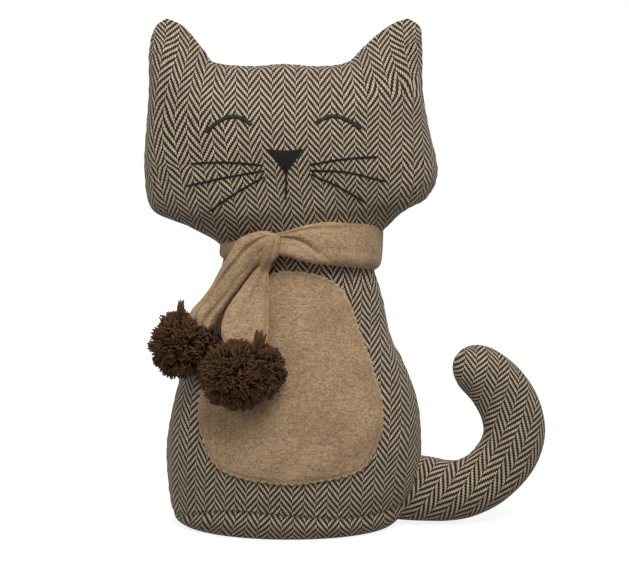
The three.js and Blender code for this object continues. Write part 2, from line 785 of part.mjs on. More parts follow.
// The band goes round the neck as one fat ring, lower at the cat's right.
function neckBand() {
  const rings = [];
  for (let i = 0; i < BAND_STEPS; i += 1) {
    const a = (i / BAND_STEPS) * 2 * Math.PI;
    const leftness = (1 - Math.cos(a)) / 2;
    const frontness = Math.max(0, -Math.sin(a));
    const high = half(BAND_HEIGHT) * mix(1.15, 0.58, leftness);
    const thick = half(BAND_THICK);
    const z = mix(BAND_RIGHT_Z, BAND_LEFT_Z, leftness) + BAND_FRONT_RISE * frontness;
    const ring = [];
    for (let k = 0; k < SECTION_SIDES; k += 1) {
      const b = (k / SECTION_SIDES) * 2 * Math.PI;
      const out = thick * Math.cos(b);
      ring.push(new THREE.Vector3(
        BAND_MIDDLE_X + (half(BAND_WIDTH) - thick + out) * Math.cos(a),
        (half(BAND_DEPTH) - thick + out) * Math.sin(a),
        z + high * Math.sin(b),
      ));
    }
    rings.push(ring);
  }
  rings.push(rings[0]);
  return toSolid(stack(rings, false, false));
}

// A hanging end: a flattened roll on the body's front. Rows are x, z, lift, half width, half thickness.
function hangingEnd(rows, steps) {
  const rings = [];
  const last = rows.length - 1;
  for (let i = 0; i <= steps; i += 1) {
    const at = (i / steps) * last;
    const [x, z, lift, wide, thick] = through(rows, at);
    const here = onFront(x, z, lift);
    const ahead = through(rows, Math.min(last, at + 0.05));
    const behind = through(rows, Math.max(0, at - 0.05));
    const way = onFront(ahead[0], ahead[1], ahead[2]).point
      .sub(onFront(behind[0], behind[1], behind[2]).point).normalize();
    const sideways = new THREE.Vector3().crossVectors(way, here.out).normalize();
    const out = new THREE.Vector3().crossVectors(sideways, way).normalize();
    const ring = [];
    for (let k = 0; k < SECTION_SIDES; k += 1) {
      const b = (k / SECTION_SIDES) * 2 * Math.PI;
      ring.push(here.point.clone()
        .addScaledVector(sideways, wide * Math.cos(b))
        .addScaledVector(out, thick * Math.sin(b)));
    }
    rings.push(ring);
  }
  return toSolid(stack(rings, true, true));
}

function sideEnd() {
  const wide = half(END_WIDTH);
  const thick = half(END_THICK);
  return hangingEnd([
    [-8, 172, 8, wide * 0.75, thick],
    [-22, 167, 10, wide, thick],
    [-31, 151, 7, wide, thick],
    [-39, 137, 6, wide * 1.05, thick],
    [-45, 124, 8, wide * 0.9, thick],
    [-49, 114, 12, wide * 0.7, thick],
  ], 15);
}

function frontEnd() {
  const narrow = half(END_WIDTH) * 0.6;
  const thick = half(END_THICK) * 0.8;
  return hangingEnd([
    [-14, 168, 5, narrow, thick],
    [-18, 157, 6, narrow, thick],
    [-21, 145, 7, mix(narrow, half(END_FLARE), 0.5), thick],
    [-24.5, 131, 8, half(END_FLARE) * 0.95, thick],
    [-25, 121, 9.5, half(END_FLARE), thick * 1.1],
    [-27, 109, 14, half(END_FLARE) * 0.7, thick * 1.1],
  ], 15);
}

function scarf(room, pompomRooms) {
  let solid = neckBand().add(sideEnd()).add(frontEnd()).subtract(room);
  pompomRooms.forEach((ball) => {
    solid = solid.subtract(ball);
  });
  return toGeometry(largest(solid));
}

// Face

const LEFT_EYE = [[-48.6, 236], [-42.3, 241], [-35, 244.3], [-28.6, 243.3], [-23.5, 240]];
const RIGHT_EYE = [[13.1, 240.3], [20, 244.2], [25.5, 244.8], [32.5, 242], [39.4, 237.6]];
const MOUTH_TOP_Z = NOSE_TOP_Z - NOSE_HEIGHT - MOUTH_GAP;
const MOUTH = [[NOSE_X, MOUTH_TOP_Z], [NOSE_X - 0.3, MOUTH_TOP_Z - half(MOUTH_LENGTH)],
  [NOSE_X - 0.5, MOUTH_TOP_Z - MOUTH_LENGTH]];
const WHISKERS = {
  whisker_left_upper: [[-16.5, 216.2], [-38.4, 218.4], [-57.2, 218.2]],
  whisker_left_middle: [[-15.8, 213.5], [-38.4, 209.8], [-60.2, 204.7]],
  whisker_left_lower: [[-16.3, 209.2], [-31.6, 201.5], [-46.5, 191.5]],
  whisker_right_upper: [[9.7, 216.7], [27.4, 220], [47.9, 221.2]],
  whisker_right_middle: [[10.2, 214.2], [31.4, 212.8], [52.6, 208]],
  whisker_right_lower: [[10.8, 211.3], [27.4, 204.1], [43.5, 194.9]],
};

function thread(points, width, steps) {
  return laidStrip(points, width, REST_GAP, REST_GAP + THREAD_RISE, steps);
}

function nose() {
  const w = half(NOSE_WIDTH);
  const corners = [[NOSE_X - w, NOSE_TOP_Z], [NOSE_X + w, NOSE_TOP_Z],
    [NOSE_X + 0.5, NOSE_TOP_Z - NOSE_HEIGHT]];
  const edge = [];
  const perSide = 5;
  corners.forEach((a, i) => {
    const b = corners[(i + 1) % corners.length];
    for (let k = 0; k < perSide; k += 1) {
      edge.push([mix(a[0], b[0], k / perSide), mix(a[1], b[1], k / perSide)]);
    }
  });
  const middle = [NOSE_X, NOSE_TOP_Z - NOSE_HEIGHT * 0.36];
  return laidPatch(edge, middle, 2, REST_GAP, REST_GAP + THREAD_RISE, REST_GAP + THREAD_RISE);
}

// The finished cat

const cat = new THREE.Group();

function add(name, geometry, look) {
  const mesh = new THREE.Mesh(geometry, new THREE.MeshStandardMaterial(look));
  mesh.name = name;
  cat.add(mesh);
}

const bodyRoom = toSolid(wholeBody(REST_GAP));
const bodyAndPatchRoom = bodyRoom.add(toSolid(patchRoom()));
const sideBall = toSolid(pompomBall(SIDE_POMPOM, SIDE_POMPOM_AT, REST_GAP));
const frontBall = toSolid(pompomBall(FRONT_POMPOM, FRONT_POMPOM_AT, REST_GAP));

add('front_panel', bodyPanel(-1), TWEED);
add('back_panel', bodyPanel(1), TWEED);
add('base_panel', basePanel(), TWEED);
add('weight_bag', weightBag(), SAND_BAG);
add('body_filling', bodyFilling(), FIBRE);
add('tail_front_panel', tailPanel(-1, bodyRoom), TWEED);
add('tail_back_panel', tailPanel(1, bodyRoom), TWEED);
add('tail_filling', tailFilling(bodyRoom), FIBRE);
add('belly_patch', bellyPatch(bodyRoom), PLUSH);
add('scarf', scarf(bodyAndPatchRoom, [sideBall, frontBall]), PLUSH);
add('side_pompom', pompom(SIDE_POMPOM, SIDE_POMPOM_AT, bodyAndPatchRoom), YARN);
add('front_pompom', pompom(FRONT_POMPOM, FRONT_POMPOM_AT, bodyAndPatchRoom), YARN);
add('eye_left', thread(LEFT_EYE, EYE_THREAD, 10), FLOSS);
add('eye_right', thread(RIGHT_EYE, EYE_THREAD, 10), FLOSS);
add('nose', nose(), FLOSS);
add('mouth', thread(MOUTH, MOUTH_THREAD, 4), FLOSS);
Object.entries(WHISKERS).forEach(([name, points]) => {
  add(name, thread(points, WHISKER_THREAD, 8), FLOSS);
});

export default cat;
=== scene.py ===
# %% [markdown]
# # A weighted door stop: a sitting cat in herringbone tweed
# The real thing is a sewn bag. A front and a back panel of tweed are joined along the cat's outline, an oval
# panel closes it underneath, and fibre and a bag of sand fill it. Plush, yarn and thread dress it.
# Each piece here is a surface worked out with numpy from a few sizes, so it can be changed by changing a
# number. Lengths are written in millimetres and become metres when a mesh is made.

import bmesh
import bpy
import numpy as np
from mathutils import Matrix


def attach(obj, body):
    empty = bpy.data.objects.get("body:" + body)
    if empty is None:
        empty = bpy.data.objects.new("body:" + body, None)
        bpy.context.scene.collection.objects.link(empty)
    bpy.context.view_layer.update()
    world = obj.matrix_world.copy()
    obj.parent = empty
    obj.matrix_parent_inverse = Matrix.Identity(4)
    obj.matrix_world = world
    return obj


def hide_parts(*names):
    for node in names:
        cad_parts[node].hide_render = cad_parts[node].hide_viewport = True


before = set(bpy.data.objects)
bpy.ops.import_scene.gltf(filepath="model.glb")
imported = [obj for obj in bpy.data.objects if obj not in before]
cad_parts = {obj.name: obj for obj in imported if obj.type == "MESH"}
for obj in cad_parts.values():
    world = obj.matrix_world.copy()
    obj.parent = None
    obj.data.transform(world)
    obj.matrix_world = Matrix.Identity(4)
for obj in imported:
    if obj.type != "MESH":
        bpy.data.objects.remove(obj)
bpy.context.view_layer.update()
MM = 0.001
BODY = "root"

# %% [markdown]
# ## The camera
# The photograph looks slightly down from a little over a metre away. A long lens keeps the cat's base and
# head at nearly the same scale, as they are there. Making the camera first fixes what must look right.

# %% Place the camera
TILT = np.radians(7)
DISTANCE = 1150
TARGET = (12.8, 0, 140.3)
VIEW_WIDTH = 629 * 0.596


def make_camera():
    """A camera DISTANCE away from TARGET, TILT above the level, whose lens spans VIEW_WIDTH there."""
    data = bpy.data.cameras.new("camera")
    data.sensor_width = 36
    data.lens = 36 * DISTANCE / VIEW_WIDTH
    camera = bpy.data.objects.new("camera", data)
    bpy.context.scene.collection.objects.link(camera)
    away = (0, -np.cos(TILT) * DISTANCE, np.sin(TILT) * DISTANCE)
    camera.location = [(a + b) * MM for a, b in zip(TARGET, away)]
    camera.rotation_euler = (np.pi / 2 - TILT, 0, 0)
    bpy.context.scene.camera = camera
    return camera


camera = make_camera()
print("lens:", round(camera.data.lens, 1), "mm")

# %% [markdown]
# ## Smooth lines through a few points
# Most shapes below start as a handful of rows of numbers. A smooth curve passes through every row and
# bends evenly between them, so a few rows describe a whole side of the cat.


# %% Helpers for curves and rows
def mix(a, b, share):
    """a at share 0, b at share 1, and a straight blend between."""
    return a + (b - a) * share


def through(rows, index):
    """Rows of numbers read at fractional indices. Between two rows the curve is a cubic, and its slope at a
    row is half the difference of that row's two neighbours."""
    rows = np.asarray(rows, float)
    index = np.asarray(index, float).ravel()
    longer = np.vstack([2 * rows[0] - rows[1], rows, 2 * rows[-1] - rows[-2]])
    start = np.clip(np.floor(index).astype(int), 0, len(rows) - 2)
    f = (index - start)[:, None]
    a, b, c, d = (longer[start + k] for k in range(4))
    return 0.5 * (2 * b + (c - a) * f + (2 * a - 5 * b + 4 * c - d) * f**2 + (3 * b - a - 3 * c + d) * f**3)


def run_lengths(points):
    """The length along a run of points up to each of them."""
    steps = np.linalg.norm(np.diff(points, axis=0), axis=1)
    return np.concatenate([[0], np.cumsum(steps)])


def bump_at(distance, width):
    """A bell curve: 1 where distance is 0, and nearly 0 beyond two widths."""
    return np.exp(-((distance / width) ** 2))


# %% [markdown]
# ## The cat's outline
# Each station is one level of the body, from the foot seam to the ear tips: the left and right edge of the
# cloth and how deep the stuffing is there. A second run of points draws the top edge with its two ears.

# %% Stations of the body, bottom to top
EAR_TIP_Z, CROWN_Z, TEMPLE_Z, CHEEK_Z, JAW_Z = 300, 273, 236, 211, 182
NECK_Z, SHOULDER_Z, WAIST_Z, HIP_Z = 164, 134, 95, 46
EAR_SPAN, EAR_MIDDLE_X = 141, -3
HEAD_WIDTH, TEMPLE_WIDTH, HEAD_MIDDLE_X = 173, 163, -2
NECK_WIDTH, NECK_MIDDLE_X = 88, 3
SHOULDER_WIDTH, WAIST_WIDTH, HIP_WIDTH, BODY_MIDDLE_X = 103, 131, 152, 0.5
FOOT_WIDTH, FOOT_MIDDLE_X = 140, -2
HEAD_DEPTH, NECK_DEPTH, SHOULDER_DEPTH, HIP_DEPTH, FOOT_DEPTH = 84, 56, 72, 116, 108
SEAM_HEIGHTS = [7, 17, 15.3, 12.5, 15]
FOOT_RISE_LEFT, FOOT_RISE_RIGHT = 14, 11
JAW_LIFT_LEFT, JAW_LIFT_RIGHT = -4.1, 3.3


def station(middle, width, z_left, z_right, depth):
    """Left x and z, right x and z, and depth of one level."""
    return [middle - width / 2, z_left, middle + width / 2, z_right, depth]


def level(middle, width, z, depth):
    """A station whose two sides are at one height."""
    return station(middle, width, z, z, depth)


LOW_Z = mix(HIP_Z, WAIST_Z, 0.53)
CHEST_Z = mix(WAIST_Z, SHOULDER_Z, 0.44)
HEAD_OUT_Z = mix(TEMPLE_Z, CROWN_Z, 0.6)
EAR_OUT_Z, EAR_TURN_Z = mix(CROWN_Z, EAR_TIP_Z, 0.36), mix(CROWN_Z, EAR_TIP_Z, 0.8)
STATIONS = np.array([
    station(FOOT_MIDDLE_X, FOOT_WIDTH, SEAM_HEIGHTS[0], SEAM_HEIGHTS[-1], FOOT_DEPTH),
    station(BODY_MIDDLE_X, mix(FOOT_WIDTH, HIP_WIDTH, 0.8), SEAM_HEIGHTS[0] + FOOT_RISE_LEFT,
            SEAM_HEIGHTS[-1] + FOOT_RISE_RIGHT, mix(FOOT_DEPTH, HIP_DEPTH, 0.7)),
    level(BODY_MIDDLE_X, HIP_WIDTH, HIP_Z, HIP_DEPTH),
    level(BODY_MIDDLE_X + 1.1, mix(WAIST_WIDTH, HIP_WIDTH, 0.7), LOW_Z, mix(SHOULDER_DEPTH, HIP_DEPTH, 0.84)),
    level(BODY_MIDDLE_X + 0.3, WAIST_WIDTH, WAIST_Z, mix(SHOULDER_DEPTH, HIP_DEPTH, 0.55)),
    level(BODY_MIDDLE_X + 0.4, mix(SHOULDER_WIDTH, WAIST_WIDTH, 0.4), CHEST_Z,
          mix(SHOULDER_DEPTH, HIP_DEPTH, 0.32)),
    level(mix(BODY_MIDDLE_X, NECK_MIDDLE_X, 0.5), SHOULDER_WIDTH, SHOULDER_Z, SHOULDER_DEPTH),
    level(NECK_MIDDLE_X, NECK_WIDTH, NECK_Z, NECK_DEPTH),
    station(mix(HEAD_MIDDLE_X, NECK_MIDDLE_X, 0.6), mix(NECK_WIDTH, HEAD_WIDTH, 0.42),
            JAW_Z + JAW_LIFT_LEFT, JAW_Z + JAW_LIFT_RIGHT, mix(NECK_DEPTH, HEAD_DEPTH, 0.5)),
    station(HEAD_MIDDLE_X, mix(NECK_WIDTH, HEAD_WIDTH, 0.87), mix(JAW_Z, CHEEK_Z, 0.22),
            mix(JAW_Z, CHEEK_Z, 0.46), mix(NECK_DEPTH, HEAD_DEPTH, 0.85)),
    level(HEAD_MIDDLE_X + 1, HEAD_WIDTH, CHEEK_Z, HEAD_DEPTH),
    level(HEAD_MIDDLE_X - 1, mix(TEMPLE_WIDTH, HEAD_WIDTH, 0.35), TEMPLE_Z, HEAD_DEPTH),
    level(HEAD_MIDDLE_X - 2, mix(TEMPLE_WIDTH, HEAD_WIDTH, -0.2), HEAD_OUT_Z, HEAD_DEPTH * 0.97),
    level(HEAD_MIDDLE_X - 2, mix(EAR_SPAN, TEMPLE_WIDTH, 0.87), EAR_OUT_Z, HEAD_DEPTH * 0.9),
    level(EAR_MIDDLE_X, mix(EAR_SPAN, TEMPLE_WIDTH, 0.62), EAR_TURN_Z, HEAD_DEPTH * 0.87),
    level(EAR_MIDDLE_X, EAR_SPAN, EAR_TIP_Z, HEAD_DEPTH * 0.85),
])
TOP_STATION, JAW_STATION, DOME_STATION = len(STATIONS) - 1, 9, 10.5
print("stations:", len(STATIONS))

# %% The top edge, from ear tip to ear tip
EAR_SLOPE = [(0.935, 0.93), (0.861, 0.81), (0.762, 0.55), (0.688, 0.29), (0.6, 0.06), (0.3, -0.02)]
EAR_UNLIKE = 0.2


def ear_point(across, up):
    """A point of the top edge: share of the half span sideways, share of the ear's height upwards."""
    return [EAR_MIDDLE_X + across * EAR_SPAN / 2, mix(CROWN_Z, EAR_TIP_Z, up)]


TOP_EDGE = np.array(
    [ear_point(-1, 1)] + [ear_point(-a, u) for a, u in EAR_SLOPE] + [ear_point(-0.05, 0.03)]
    + [ear_point(a * (1 - EAR_UNLIKE * (1 - u)), u) for a, u in EAR_SLOPE][::-1] + [ear_point(1, 1)])
TOP_LENGTHS = run_lengths(TOP_EDGE)
print("top edge:", round(TOP_LENGTHS[-1]), "mm long")

# %% [markdown]
# ## The stuffed surface
# Two flat panels sewn edge to edge and filled turn into a cushion: round near the seam, flattest in the
# middle. Here the sideways position follows a cosine and the bulge follows a sine, which together give that
# rounded section at every station. The top closes like a dome, and the two ears lift its edge.


# %% Points of the stuffed surface
def climbed(height, from_station):
    """How far a height has climbed from a station to the ear tips, from 0 to 1."""
    row = through(STATIONS, [from_station])[0]
    start = (row[1] + row[3]) / 2
    return np.clip((height - start) / (EAR_TIP_Z - start), 0, 1)


def plain_surface(s, t, side):
    """Points (…, 3) in mm. s counts stations upwards, t goes from the left seam (0) to the right (1), and
    side is -1 for the front and 1 for the back. x and z blend the two edges by u = (1 - cos(pi t)) / 2 and
    are lifted towards the ears near the top. y is half the depth times sin(pi t) to the power 0.9."""
    s, t = np.broadcast_arrays(s, t)
    shape, s, t = s.shape, s.ravel(), t.ravel()
    u = (1 - np.cos(np.pi * t)) / 2
    row = through(STATIONS, s)
    height = (row[:, 1] + row[:, 3]) / 2
    notch = climbed(height, JAW_STATION) ** 1.6
    top = through(TOP_EDGE, np.interp(u * TOP_LENGTHS[-1], TOP_LENGTHS, np.arange(len(TOP_EDGE))))
    x = mix(row[:, 0], row[:, 2], u) + notch * (top[:, 0] - mix(TOP_EDGE[0, 0], TOP_EDGE[-1, 0], u))
    foot = np.clip(1 - s / 2, 0, 1) ** 2
    seam = through(np.array(SEAM_HEIGHTS)[:, None], u * (len(SEAM_HEIGHTS) - 1))[:, 0]
    seam_lift = seam - mix(SEAM_HEIGHTS[0], SEAM_HEIGHTS[-1], u)
    z = mix(row[:, 1], row[:, 3], u) + notch * (top[:, 1] - EAR_TIP_Z) + foot * seam_lift
    dome = np.sqrt(np.clip(1 - climbed(height, DOME_STATION) ** 2, 0, 1))
    y = side * row[:, 4] / 2 * np.clip(np.sin(np.pi * t), 0, 1) ** 0.9 * dome
    return np.stack([x, y, z], axis=-1).reshape(shape + (3,))


def outward(surface, s, t, side):
    """Unit directions that point out of a surface, from two short steps along it."""
    step = 4e-3
    along = surface(np.minimum(s + step, TOP_STATION), t, side) - surface(np.maximum(s - step, 0), t, side)
    across = surface(s, np.minimum(t + step, 1), side) - surface(s, np.maximum(t - step, 0), side)
    out = np.cross(across, along) * -side
    return out / np.maximum(np.linalg.norm(out, axis=-1, keepdims=True), 1e-9)


# %% [markdown]
# ## Stuffing that can be seen
# Fibre never fills a bag evenly. The cloth stands a little proud beside each seam, because the seam
# holds it down, and it has small puckers there and soft lumps elsewhere. All of it is a height
# added along the outward direction, and it is zero on the seam, so that the panels still meet.


# %% Lumps, seam rolls and puckers
SIDE_REACH, TOP_REACH, FOOT_REACH = 150, 16, 14
ROLL_HEIGHT, ROLL_PLACE, ROLL_WIDTH = 0.75, 3.2, 2.6
TUCK_DEPTH, TUCK_WIDTH = 0.7, 8
PUCKER_HEIGHT, LUMP_HEIGHT = 0.22, 0.75


def stuffing(plain, t, s):
    """Height in mm above the plain surface: the seam's own tuck, a roll 3 mm from each seam, puckers along
    it, and lumps made of a few sine waves that fade out at the seam. The tuck is less on the body, and none
    at the foot and the ear tips."""
    x, y, z = plain[..., 0], plain[..., 1], plain[..., 2]
    from_side = np.minimum(t, 1 - t) * SIDE_REACH
    from_top = np.sqrt(np.clip(TOP_STATION - s, 0, None)) * TOP_REACH
    from_foot = s * FOOT_REACH
    gap = np.minimum(np.minimum(from_side, from_top), from_foot)
    roll = ROLL_HEIGHT * bump_at(gap - ROLL_PLACE, ROLL_WIDTH) * np.clip(gap / 2, 0, 1)
    tuck = TUCK_DEPTH * np.clip((297 - z) / 10, 0, 1) * np.clip((z - 110) / 90, 0.35, 1)
    tuck = tuck * np.clip(s / 1.5, 0, 1)
    roll = roll - tuck * bump_at(gap, TUCK_WIDTH)
    pucker = PUCKER_HEIGHT * np.sin((z + 0.6 * x) * 0.85) * np.sin(x * 0.33 + z * 0.21) * bump_at(gap - 4, 4)
    lump = (np.sin(x * 0.083 + z * 0.05 + 1) * np.sin(z * 0.071 - x * 0.031 + np.sign(y) * 0.7)
            + 0.5 * np.sin(x * 0.19 - z * 0.13) * np.sin(z * 0.17 + 2)) * LUMP_HEIGHT
    return roll + pucker * np.clip(gap / 3, 0, 1) + lump * np.clip(gap / 22, 0, 1) ** 1.5


def cover(s, t, side):
    """The cloth's own surface: the plain one plus its stuffing along the outward direction."""
    s, t = np.broadcast_arrays(np.asarray(s, float), np.asarray(t, float))
    plain = plain_surface(s, t, side)
    return plain + outward(plain_surface, s, t, side) * stuffing(plain, t, s)[..., None]


middle_of_face = cover(11, 0.5, -1)
print("middle of the face:", np.round(middle_of_face, 1))

# %% [markdown]
# ## Making a mesh out of rows of points
# A grid of points becomes faces by joining each point with its neighbours. Doing this with whole arrays
# keeps the code short and fast. Each piece then gets its own map of the cloth, in a layer called cloth.


# %% Helpers for meshes
def grid_faces(rows, columns, first=0, close_rows=False, close_columns=False):
    """Corner numbers of the four-sided faces of a grid whose points are stored row by row."""
    r = np.arange(rows if close_rows else rows - 1)[:, None]
    c = np.arange(columns if close_columns else columns - 1)[None]
    up, on = (r + 1) % rows, (c + 1) % columns
    faces = np.stack([r * columns + c, r * columns + on, up * columns + on, up * columns + c], axis=-1)
    return faces.reshape(-1, 4) + first


def end_faces(rows, columns):
    """The two faces that close a tube: its first row turned round, and its last row."""
    return [list(range(columns))[::-1], [(rows - 1) * columns + k for k in range(columns)]]


def make_piece(name, points, faces, cloth, weld=1e-6):
    """A mesh object with its points in mm turned to metres, faces pointing outwards, doubles merged, smooth
    shading, and the cloth's map as a UV layer. The object itself stays at the origin."""
    mesh = bpy.data.meshes.new(name)
    mesh.from_pydata((np.asarray(points).reshape(-1, 3) * MM).tolist(), [], [list(f) for f in faces])
    layer = mesh.uv_layers.new(name="cloth")
    corner = np.zeros(len(mesh.loops), int)
    mesh.loops.foreach_get("vertex_index", corner)
    layer.data.foreach_set("uv", np.asarray(cloth, float).reshape(-1, 2)[corner].ravel())
    shape = bmesh.new()
    shape.from_mesh(mesh)
    bmesh.ops.remove_doubles(shape, verts=shape.verts, dist=weld)
    bmesh.ops.dissolve_degenerate(shape, edges=shape.edges, dist=1e-8)
    if shape.calc_volume(signed=True) < 0:
        bmesh.ops.reverse_faces(shape, faces=shape.faces)
    shape.to_mesh(mesh)
    shape.free()
    mesh.polygons.foreach_set("use_smooth", np.ones(len(mesh.polygons), bool))
    piece = bpy.data.objects.new(name, mesh)
    bpy.context.scene.collection.objects.link(piece)
    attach(piece, BODY)
    print(name, "faces:", len(mesh.polygons))
    return piece


# %% [markdown]
# ## How the herringbone lies
# The tweed is woven flat in columns about 7 mm wide. Stuffing pulls it outwards, so the columns spread over
# the cheeks, close up at the neck and lean towards the ear tips. The table gives, at a few heights, where
# column lines -10, -8, -4, 0, 4, 8 and 10 run. Past them, and beside the body's side seams, columns are
# counted by length over the cloth.

# %% Column lines of the front panel
COLUMN_NUMBERS = [-10, -8, -4, 0, 4, 8, 10]
COLUMN_LINES = {
    5: [-67, -56.5, -34, -7.2, 19.5, 46, 57.5],
    30: [-67.4, -56.8, -32.8, -6.6, 20.5, 47.2, 59],
    60: [-66.8, -54.4, -31.5, -5.2, 22, 49.5, 63],
    95: [-64, -51, -28.5, -2.2, 24.8, 51.5, 63.5],
    125: [-59, -47, -25, 0.6, 27.5, 51.8, 61],
    151: [-58, -47, -23, 2.7, 30, 51, 58],
    186: [-64.8, -52.9, -24.8, 0.5, 26.3, 49.1, 60.5],
    214: [-72.5, -57.6, -28.6, -2.9, 23.4, 49.4, 63.2],
    236: [-75.5, -60.4, -31.4, -4.6, 22.2, 49.8, 63.3],
    256: [-73.2, -59.5, -32.2, -4.7, 22.3, 49.9, 63.9],
    269: [-69.8, -56.8, -32.7, -4.9, 22.3, 46.6, 60.3],
    283: [-66.2, -54.4, -32.4, -5, 22, 43.4, 56.8],
    302: [-66, -55.5, -33, -5, 21.5, 42, 56],
}
COLUMN_WIDTH, BODY_EDGE_WIDTH, HEAD_EDGE_WIDTH = 6.85, 10.2, 8.2
TURNED_STEPS, HEAD_LEAD, HEAD_BLEND = 26, 20, 30
LINE_PITCH = 4.11


def column_lines(z):
    """x of the seven column lines at each height z."""
    heights = np.array(list(COLUMN_LINES))
    index = np.interp(z, heights, np.arange(len(heights)))
    return through(np.array(list(COLUMN_LINES.values())), index)


def column_at(x, z):
    """Column number at points of the front panel, between the outer column lines."""
    lines = column_lines(z)
    column = np.full(len(x), float(COLUMN_NUMBERS[0]))
    for k in range(len(COLUMN_NUMBERS) - 1):
        share = (x - lines[:, k]) / (lines[:, k + 1] - lines[:, k])
        column += np.clip(share, 0, 1) * (COLUMN_NUMBERS[k + 1] - COLUMN_NUMBERS[k])
    return column


# %% Cloth maps for the two panels
def front_columns(points, over):
    """Column number and lean of the front panel's points, where lean is the slant of the column lines and
    over is the level length from the left seam. Between the outer lines both follow the table, but on the
    body only from TURNED_STEPS steps inside the seam. Outside that, the columns are counted by over."""
    rows, columns = points.shape[:2]
    x, z = points[..., 0].ravel(), points[..., 2].ravel()
    column = column_at(x, z)
    above, below = column_at(x, z + 1), column_at(x, z - 1)
    right = column_at(x + 1, z) - column_at(x - 1, z)
    lean = np.where(right > 0.05, (below - above) / np.maximum(right, 0.05), 0)
    column, lean = column.reshape(rows, columns), lean.reshape(rows, columns)
    number = np.arange(columns)[None]
    from_seam = np.minimum(number, columns - 1 - number)
    head = np.clip((points[:, columns // 2, 2][:, None] - JAW_Z + HEAD_LEAD) / HEAD_BLEND, 0, 1)
    inside = (column > COLUMN_NUMBERS[0] + 1e-6) & (column < COLUMN_NUMBERS[-1] - 1e-6)
    inside = inside & (from_seam >= TURNED_STEPS * (1 - head))
    first, last = inside.argmax(axis=1), columns - 1 - inside[:, ::-1].argmax(axis=1)
    span = np.arange(rows)
    before = np.clip(over[span, first][:, None] - over, 0, None)
    after = np.clip(over - over[span, last][:, None], 0, None)
    column = np.clip(column, column[span, first][:, None], column[span, last][:, None])
    column = column + (after - before) / mix(BODY_EDGE_WIDTH, HEAD_EDGE_WIDTH, head)
    lean = np.where(number < first[:, None], lean[span, first][:, None], lean)
    lean = np.where(number > last[:, None], lean[span, last][:, None], lean)
    return column, lean


def cloth_of_panel(points, side):
    """The map of a panel whose points are rows from left to right. The first number counts columns. The
    second counts diagonal lines upwards: it follows the height, plus the slant of the columns, which keeps
    the weave square, plus extra length where the cloth lies nearly flat on top."""
    rows, columns = points.shape[:2]
    middle = columns // 2
    steps = np.diff(points, axis=1)
    level_steps = np.hypot(steps[..., 0], steps[..., 1])
    over = np.concatenate([np.zeros((rows, 1)), np.cumsum(level_steps, axis=1)], axis=1)
    if side < 0:
        column, lean = front_columns(points, over)
    else:
        column = (over - over[:, middle][:, None]) / COLUMN_WIDTH
        lean = np.zeros((rows, columns))
    change = steps[..., 2] + 0.5 * (lean[:, 1:] + lean[:, :-1]) * steps[..., 0]
    sideways = np.concatenate([np.zeros((rows, 1)), np.cumsum(change, axis=1)], axis=1)
    sideways -= sideways[:, middle][:, None]
    climb = np.diff(points, axis=0)
    extra = 0.8 * np.clip(np.abs(climb[..., 1]) - 2 * np.abs(climb[..., 2]), 0, None)
    extra = np.concatenate([np.zeros((1, columns)), np.cumsum(extra, axis=0)], axis=0)
    height = points[:, middle, 2][:, None] + sideways + extra
    return np.stack([column, height / LINE_PITCH], axis=-1)


# %% [markdown]
# ## The body's cover
# The front, back and base panels are one closed form here, because the seams hold them together. The base
# panel rounds in below its seam and lies flat on the floor. It is its own cut of tweed, so its weave starts
# afresh at the seam and points the other way, which makes the row of diamonds along the front edge.

# %% Build the front, back and base of the cover
SIDE_STEPS = 172
LOWER_ROWS, DOME_ROWS = 150, 46
BASE_ROWS, UNDER_ROWS = 14, 12
BASE_ROUND, BASE_MORE_LEFT, BASE_MORE_RIGHT, BASE_ROLL = 6, 0.45, 1.15, 1.1
BASE_COLUMN_X, BASE_COLUMN_WIDTH, BASE_FIRST_LINE = -5.7, 6.6, 0.4
BASE_SLANT, BASE_SLANT_REACH = 0.28, 20


def cover_rows():
    """Station values of the rows: even steps to the dome, then steps that shrink towards the top seam."""
    lower = np.linspace(0, DOME_STATION, LOWER_ROWS, endpoint=False)
    dome = DOME_STATION + (TOP_STATION - DOME_STATION) * np.sin(np.linspace(0, np.pi / 2, DOME_ROWS))
    return np.concatenate([lower, dome])


def base_points(side):
    """Rows from the foot seam down to the floor, and on under the cat to its middle line. Below the seam the
    cloth rounds inwards by BASE_ROUND along a quarter circle, and by a share more towards the left and right
    ends, with a soft roll just under the seam."""
    t = np.linspace(0, 1, SIDE_STEPS)
    rim = cover(0, t, side)
    q = np.linspace(0, 1, BASE_ROWS)[:, None]
    sideways = np.abs(2 * t - 1) ** 2
    more = mix(BASE_MORE_LEFT, BASE_MORE_RIGHT, t) * sideways
    inwards = BASE_ROUND * (1 + more) * (1 - np.cos(q * np.pi / 2))
    inwards = inwards - BASE_ROLL * (1 - sideways) * np.sin(np.pi * np.clip(q * 1.7, 0, 1)) ** 2
    x = mix(FOOT_MIDDLE_X, rim[:, 0], 1 - inwards / (FOOT_WIDTH / 2))
    y = rim[:, 1] * (1 - inwards / (FOOT_DEPTH / 2))
    z = rim[:, 2] * (1 - np.sin(q * np.pi / 2))
    down = np.stack([x, y, z * np.ones_like(x)], axis=-1)
    under = np.linspace(1, 0, UNDER_ROWS)[1:, None]
    flat = np.stack([down[-1, :, 0] * np.ones_like(under), down[-1, :, 1] * under,
                     down[-1, :, 2] * under * 0], axis=-1)
    return np.concatenate([down, flat])


